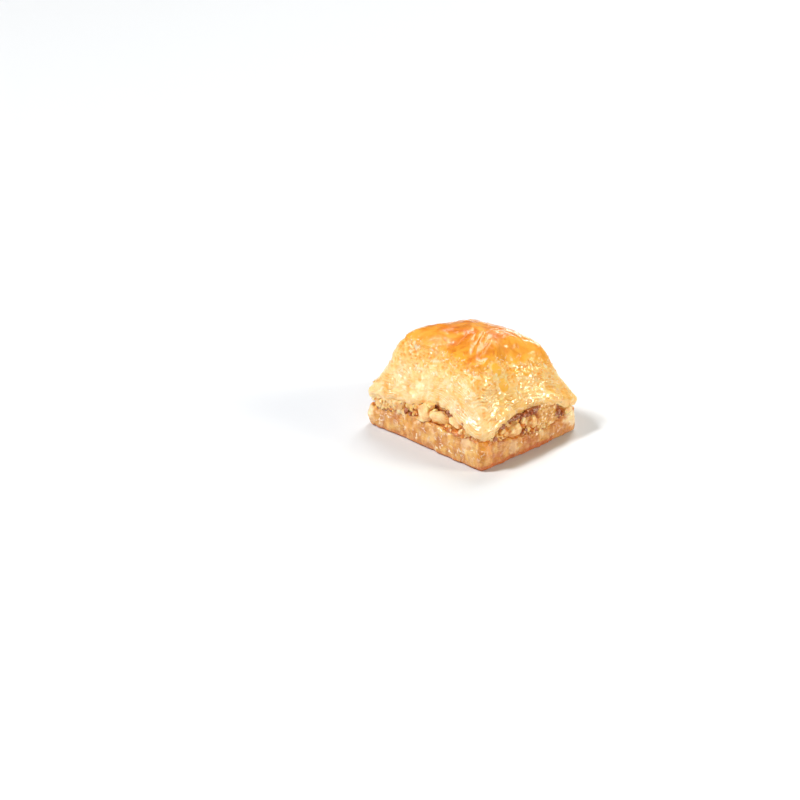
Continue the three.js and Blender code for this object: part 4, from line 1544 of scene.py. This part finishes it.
def make_flakes(count=300):
    """Torn bits of sheet standing off the cut sides."""
    rng = np.random.default_rng(FLAKE_SEED)
    angle = random_angles(rng, count)
    down = 2 - 0.98 * rng.random((1, count)) ** 1.6
    at, around, below, outward = (v[0] for v in side_frames(angle, down))
    faces = sheet_faces(*FLAKE_GRID)
    tones = bake_tone(angle, down)[0]
    pieces = []
    for i in range(count):
        length, width = rng.uniform(*FLAKE_LENGTHS), rng.uniform(*FLAKE_WIDTHS)
        sheet = thin_sheet(rng, length, width, rng.uniform(*FLAKE_THICKNESSES))
        tilt, turn = rng.uniform(*FLAKE_TILTS), rng.normal(0, FLAKE_TURN)
        x_axis = around[i] * math.cos(turn) + below[i] * math.sin(turn)
        across = np.cross(outward[i], x_axis)
        y_axis = across * math.cos(tilt) + outward[i] * math.sin(tilt)
        z_axis = np.cross(x_axis, y_axis)
        lift = 0.02 + 0.22 * width * abs(math.sin(tilt))
        points = at[i] + outward[i] * lift + sheet @ np.stack([x_axis, y_axis, z_axis])
        tone = np.full(len(points), tones[i])
        pieces.append((points, faces, tone))
    add_scattered("loose_flakes", pieces, CRUST, flake_material, "rise")


make_flakes()

# ---- Floor, lights and camera ----

FLOOR_HALF = 6
FLOOR_COLOUR = (0.80, 0.82, 0.845, 1)
FLOOR_ROUGHNESS = 0.6
AZIMUTH = math.radians(43.7)
ELEVATION = math.radians(26)
RIGHT = Vector((math.cos(AZIMUTH), math.sin(AZIMUTH), 0))
AWAY = Vector((-math.sin(AZIMUTH), math.cos(AZIMUTH), 0))
BACK = Vector((
    math.sin(AZIMUTH) * math.cos(ELEVATION),
    -math.cos(AZIMUTH) * math.cos(ELEVATION),
    math.sin(ELEVATION),
))
UP = BACK.cross(RIGHT)
PIXELS_PER_MM = 3.14
PICTURE_WIDTH = 800
CENTRE_OFF = (-72.3, 26.1)  # where the picture's middle is from the base's, in pixels
CAMERA_DISTANCE = 1
CAMERA_SIGHT = 20
SENSOR = 36
LIGHT_TARGET = Vector((0, 0, 0.015))
FAR = 1.6  # how much farther off, larger and stronger the lights are than written
WHITE = (1, 1, 1)
WARM = (1, 0.92, 0.72)
SKY_STRENGTH = 0.03
# name, how far away from the camera, to its right and up, its two sizes, watts and colour
SOFTBOXES = [
    ("high_softbox", -0.19, -0.5, 0.76, 0.15, 0.15, 6.8, WHITE),
    ("back_softbox", 0.5, 0.1, 0.72, 0.34, 0.34, 2.8, WHITE),
    ("left_softbox", -0.11, -0.84, 0.17, 0.15, 0.14, 0.9, WHITE),
    ("right_softbox", -0.16, 0.76, 0.4, 0.24, 0.22, 3.6, WARM),
    ("front_softbox", -0.52, 0.25, 0.62, 0.16, 0.16, 0.5, WHITE),
    ("rim_softbox", 0.84, 0.34, 0.34, 0.3, 0.3, 2.2, WHITE),
]


def make_floor():
    material = bpy.data.materials.new("floor")
    material.use_nodes = True
    shader = material.node_tree.nodes["Principled BSDF"]
    shader.inputs["Base Color"].default_value = FLOOR_COLOUR
    shader.inputs["Roughness"].default_value = FLOOR_ROUGHNESS
    mesh = bpy.data.meshes.new("floor")
    signs = [(-1, -1), (1, -1), (1, 1), (-1, 1)]
    mesh.from_pydata([(x * FLOOR_HALF, y * FLOOR_HALF, 0) for x, y in signs], [], [(0, 1, 2, 3)])
    mesh.materials.append(material)
    floor = bpy.data.objects.new("floor", mesh)
    bpy.context.scene.collection.objects.link(floor)


def aimed(thing, place, target):
    thing.location = place
    thing.rotation_euler = (place - target).to_track_quat("Z", "Y").to_euler()
    bpy.context.scene.collection.objects.link(thing)


def make_camera():
    data = bpy.data.cameras.new("camera")
    data.sensor_width = SENSOR
    data.lens = SENSOR * PIXELS_PER_MM * CAMERA_DISTANCE * 1000 / PICTURE_WIDTH
    data.clip_end = CAMERA_SIGHT
    camera = bpy.data.objects.new("camera", data)
    across, up = (offset / PIXELS_PER_MM * MM for offset in CENTRE_OFF)
    aimed(camera, BACK * CAMERA_DISTANCE, RIGHT * across + UP * up)
    bpy.context.scene.camera = camera


def make_lights():
    for name, away, right, up, width, height, watts, colour in SOFTBOXES:
        data = bpy.data.lights.new(name, "AREA")
        data.shape = "RECTANGLE"
        data.size, data.size_y = FAR * width, FAR * height
        data.energy = FAR**2 * watts
        data.color = colour
        place = AWAY * away + RIGHT * right + Vector((0, 0, up))
        aimed(bpy.data.objects.new(name, data), FAR * place, LIGHT_TARGET)
    world = bpy.data.worlds.new("studio")
    world.use_nodes = True
    sky = world.node_tree.nodes["Background"]
    sky.inputs["Color"].default_value = (1, 1, 1, 1)
    sky.inputs["Strength"].default_value = SKY_STRENGTH
    bpy.context.scene.world = world
    bpy.context.scene.view_settings.view_transform = "Standard"


make_floor()
make_camera()
make_lights()
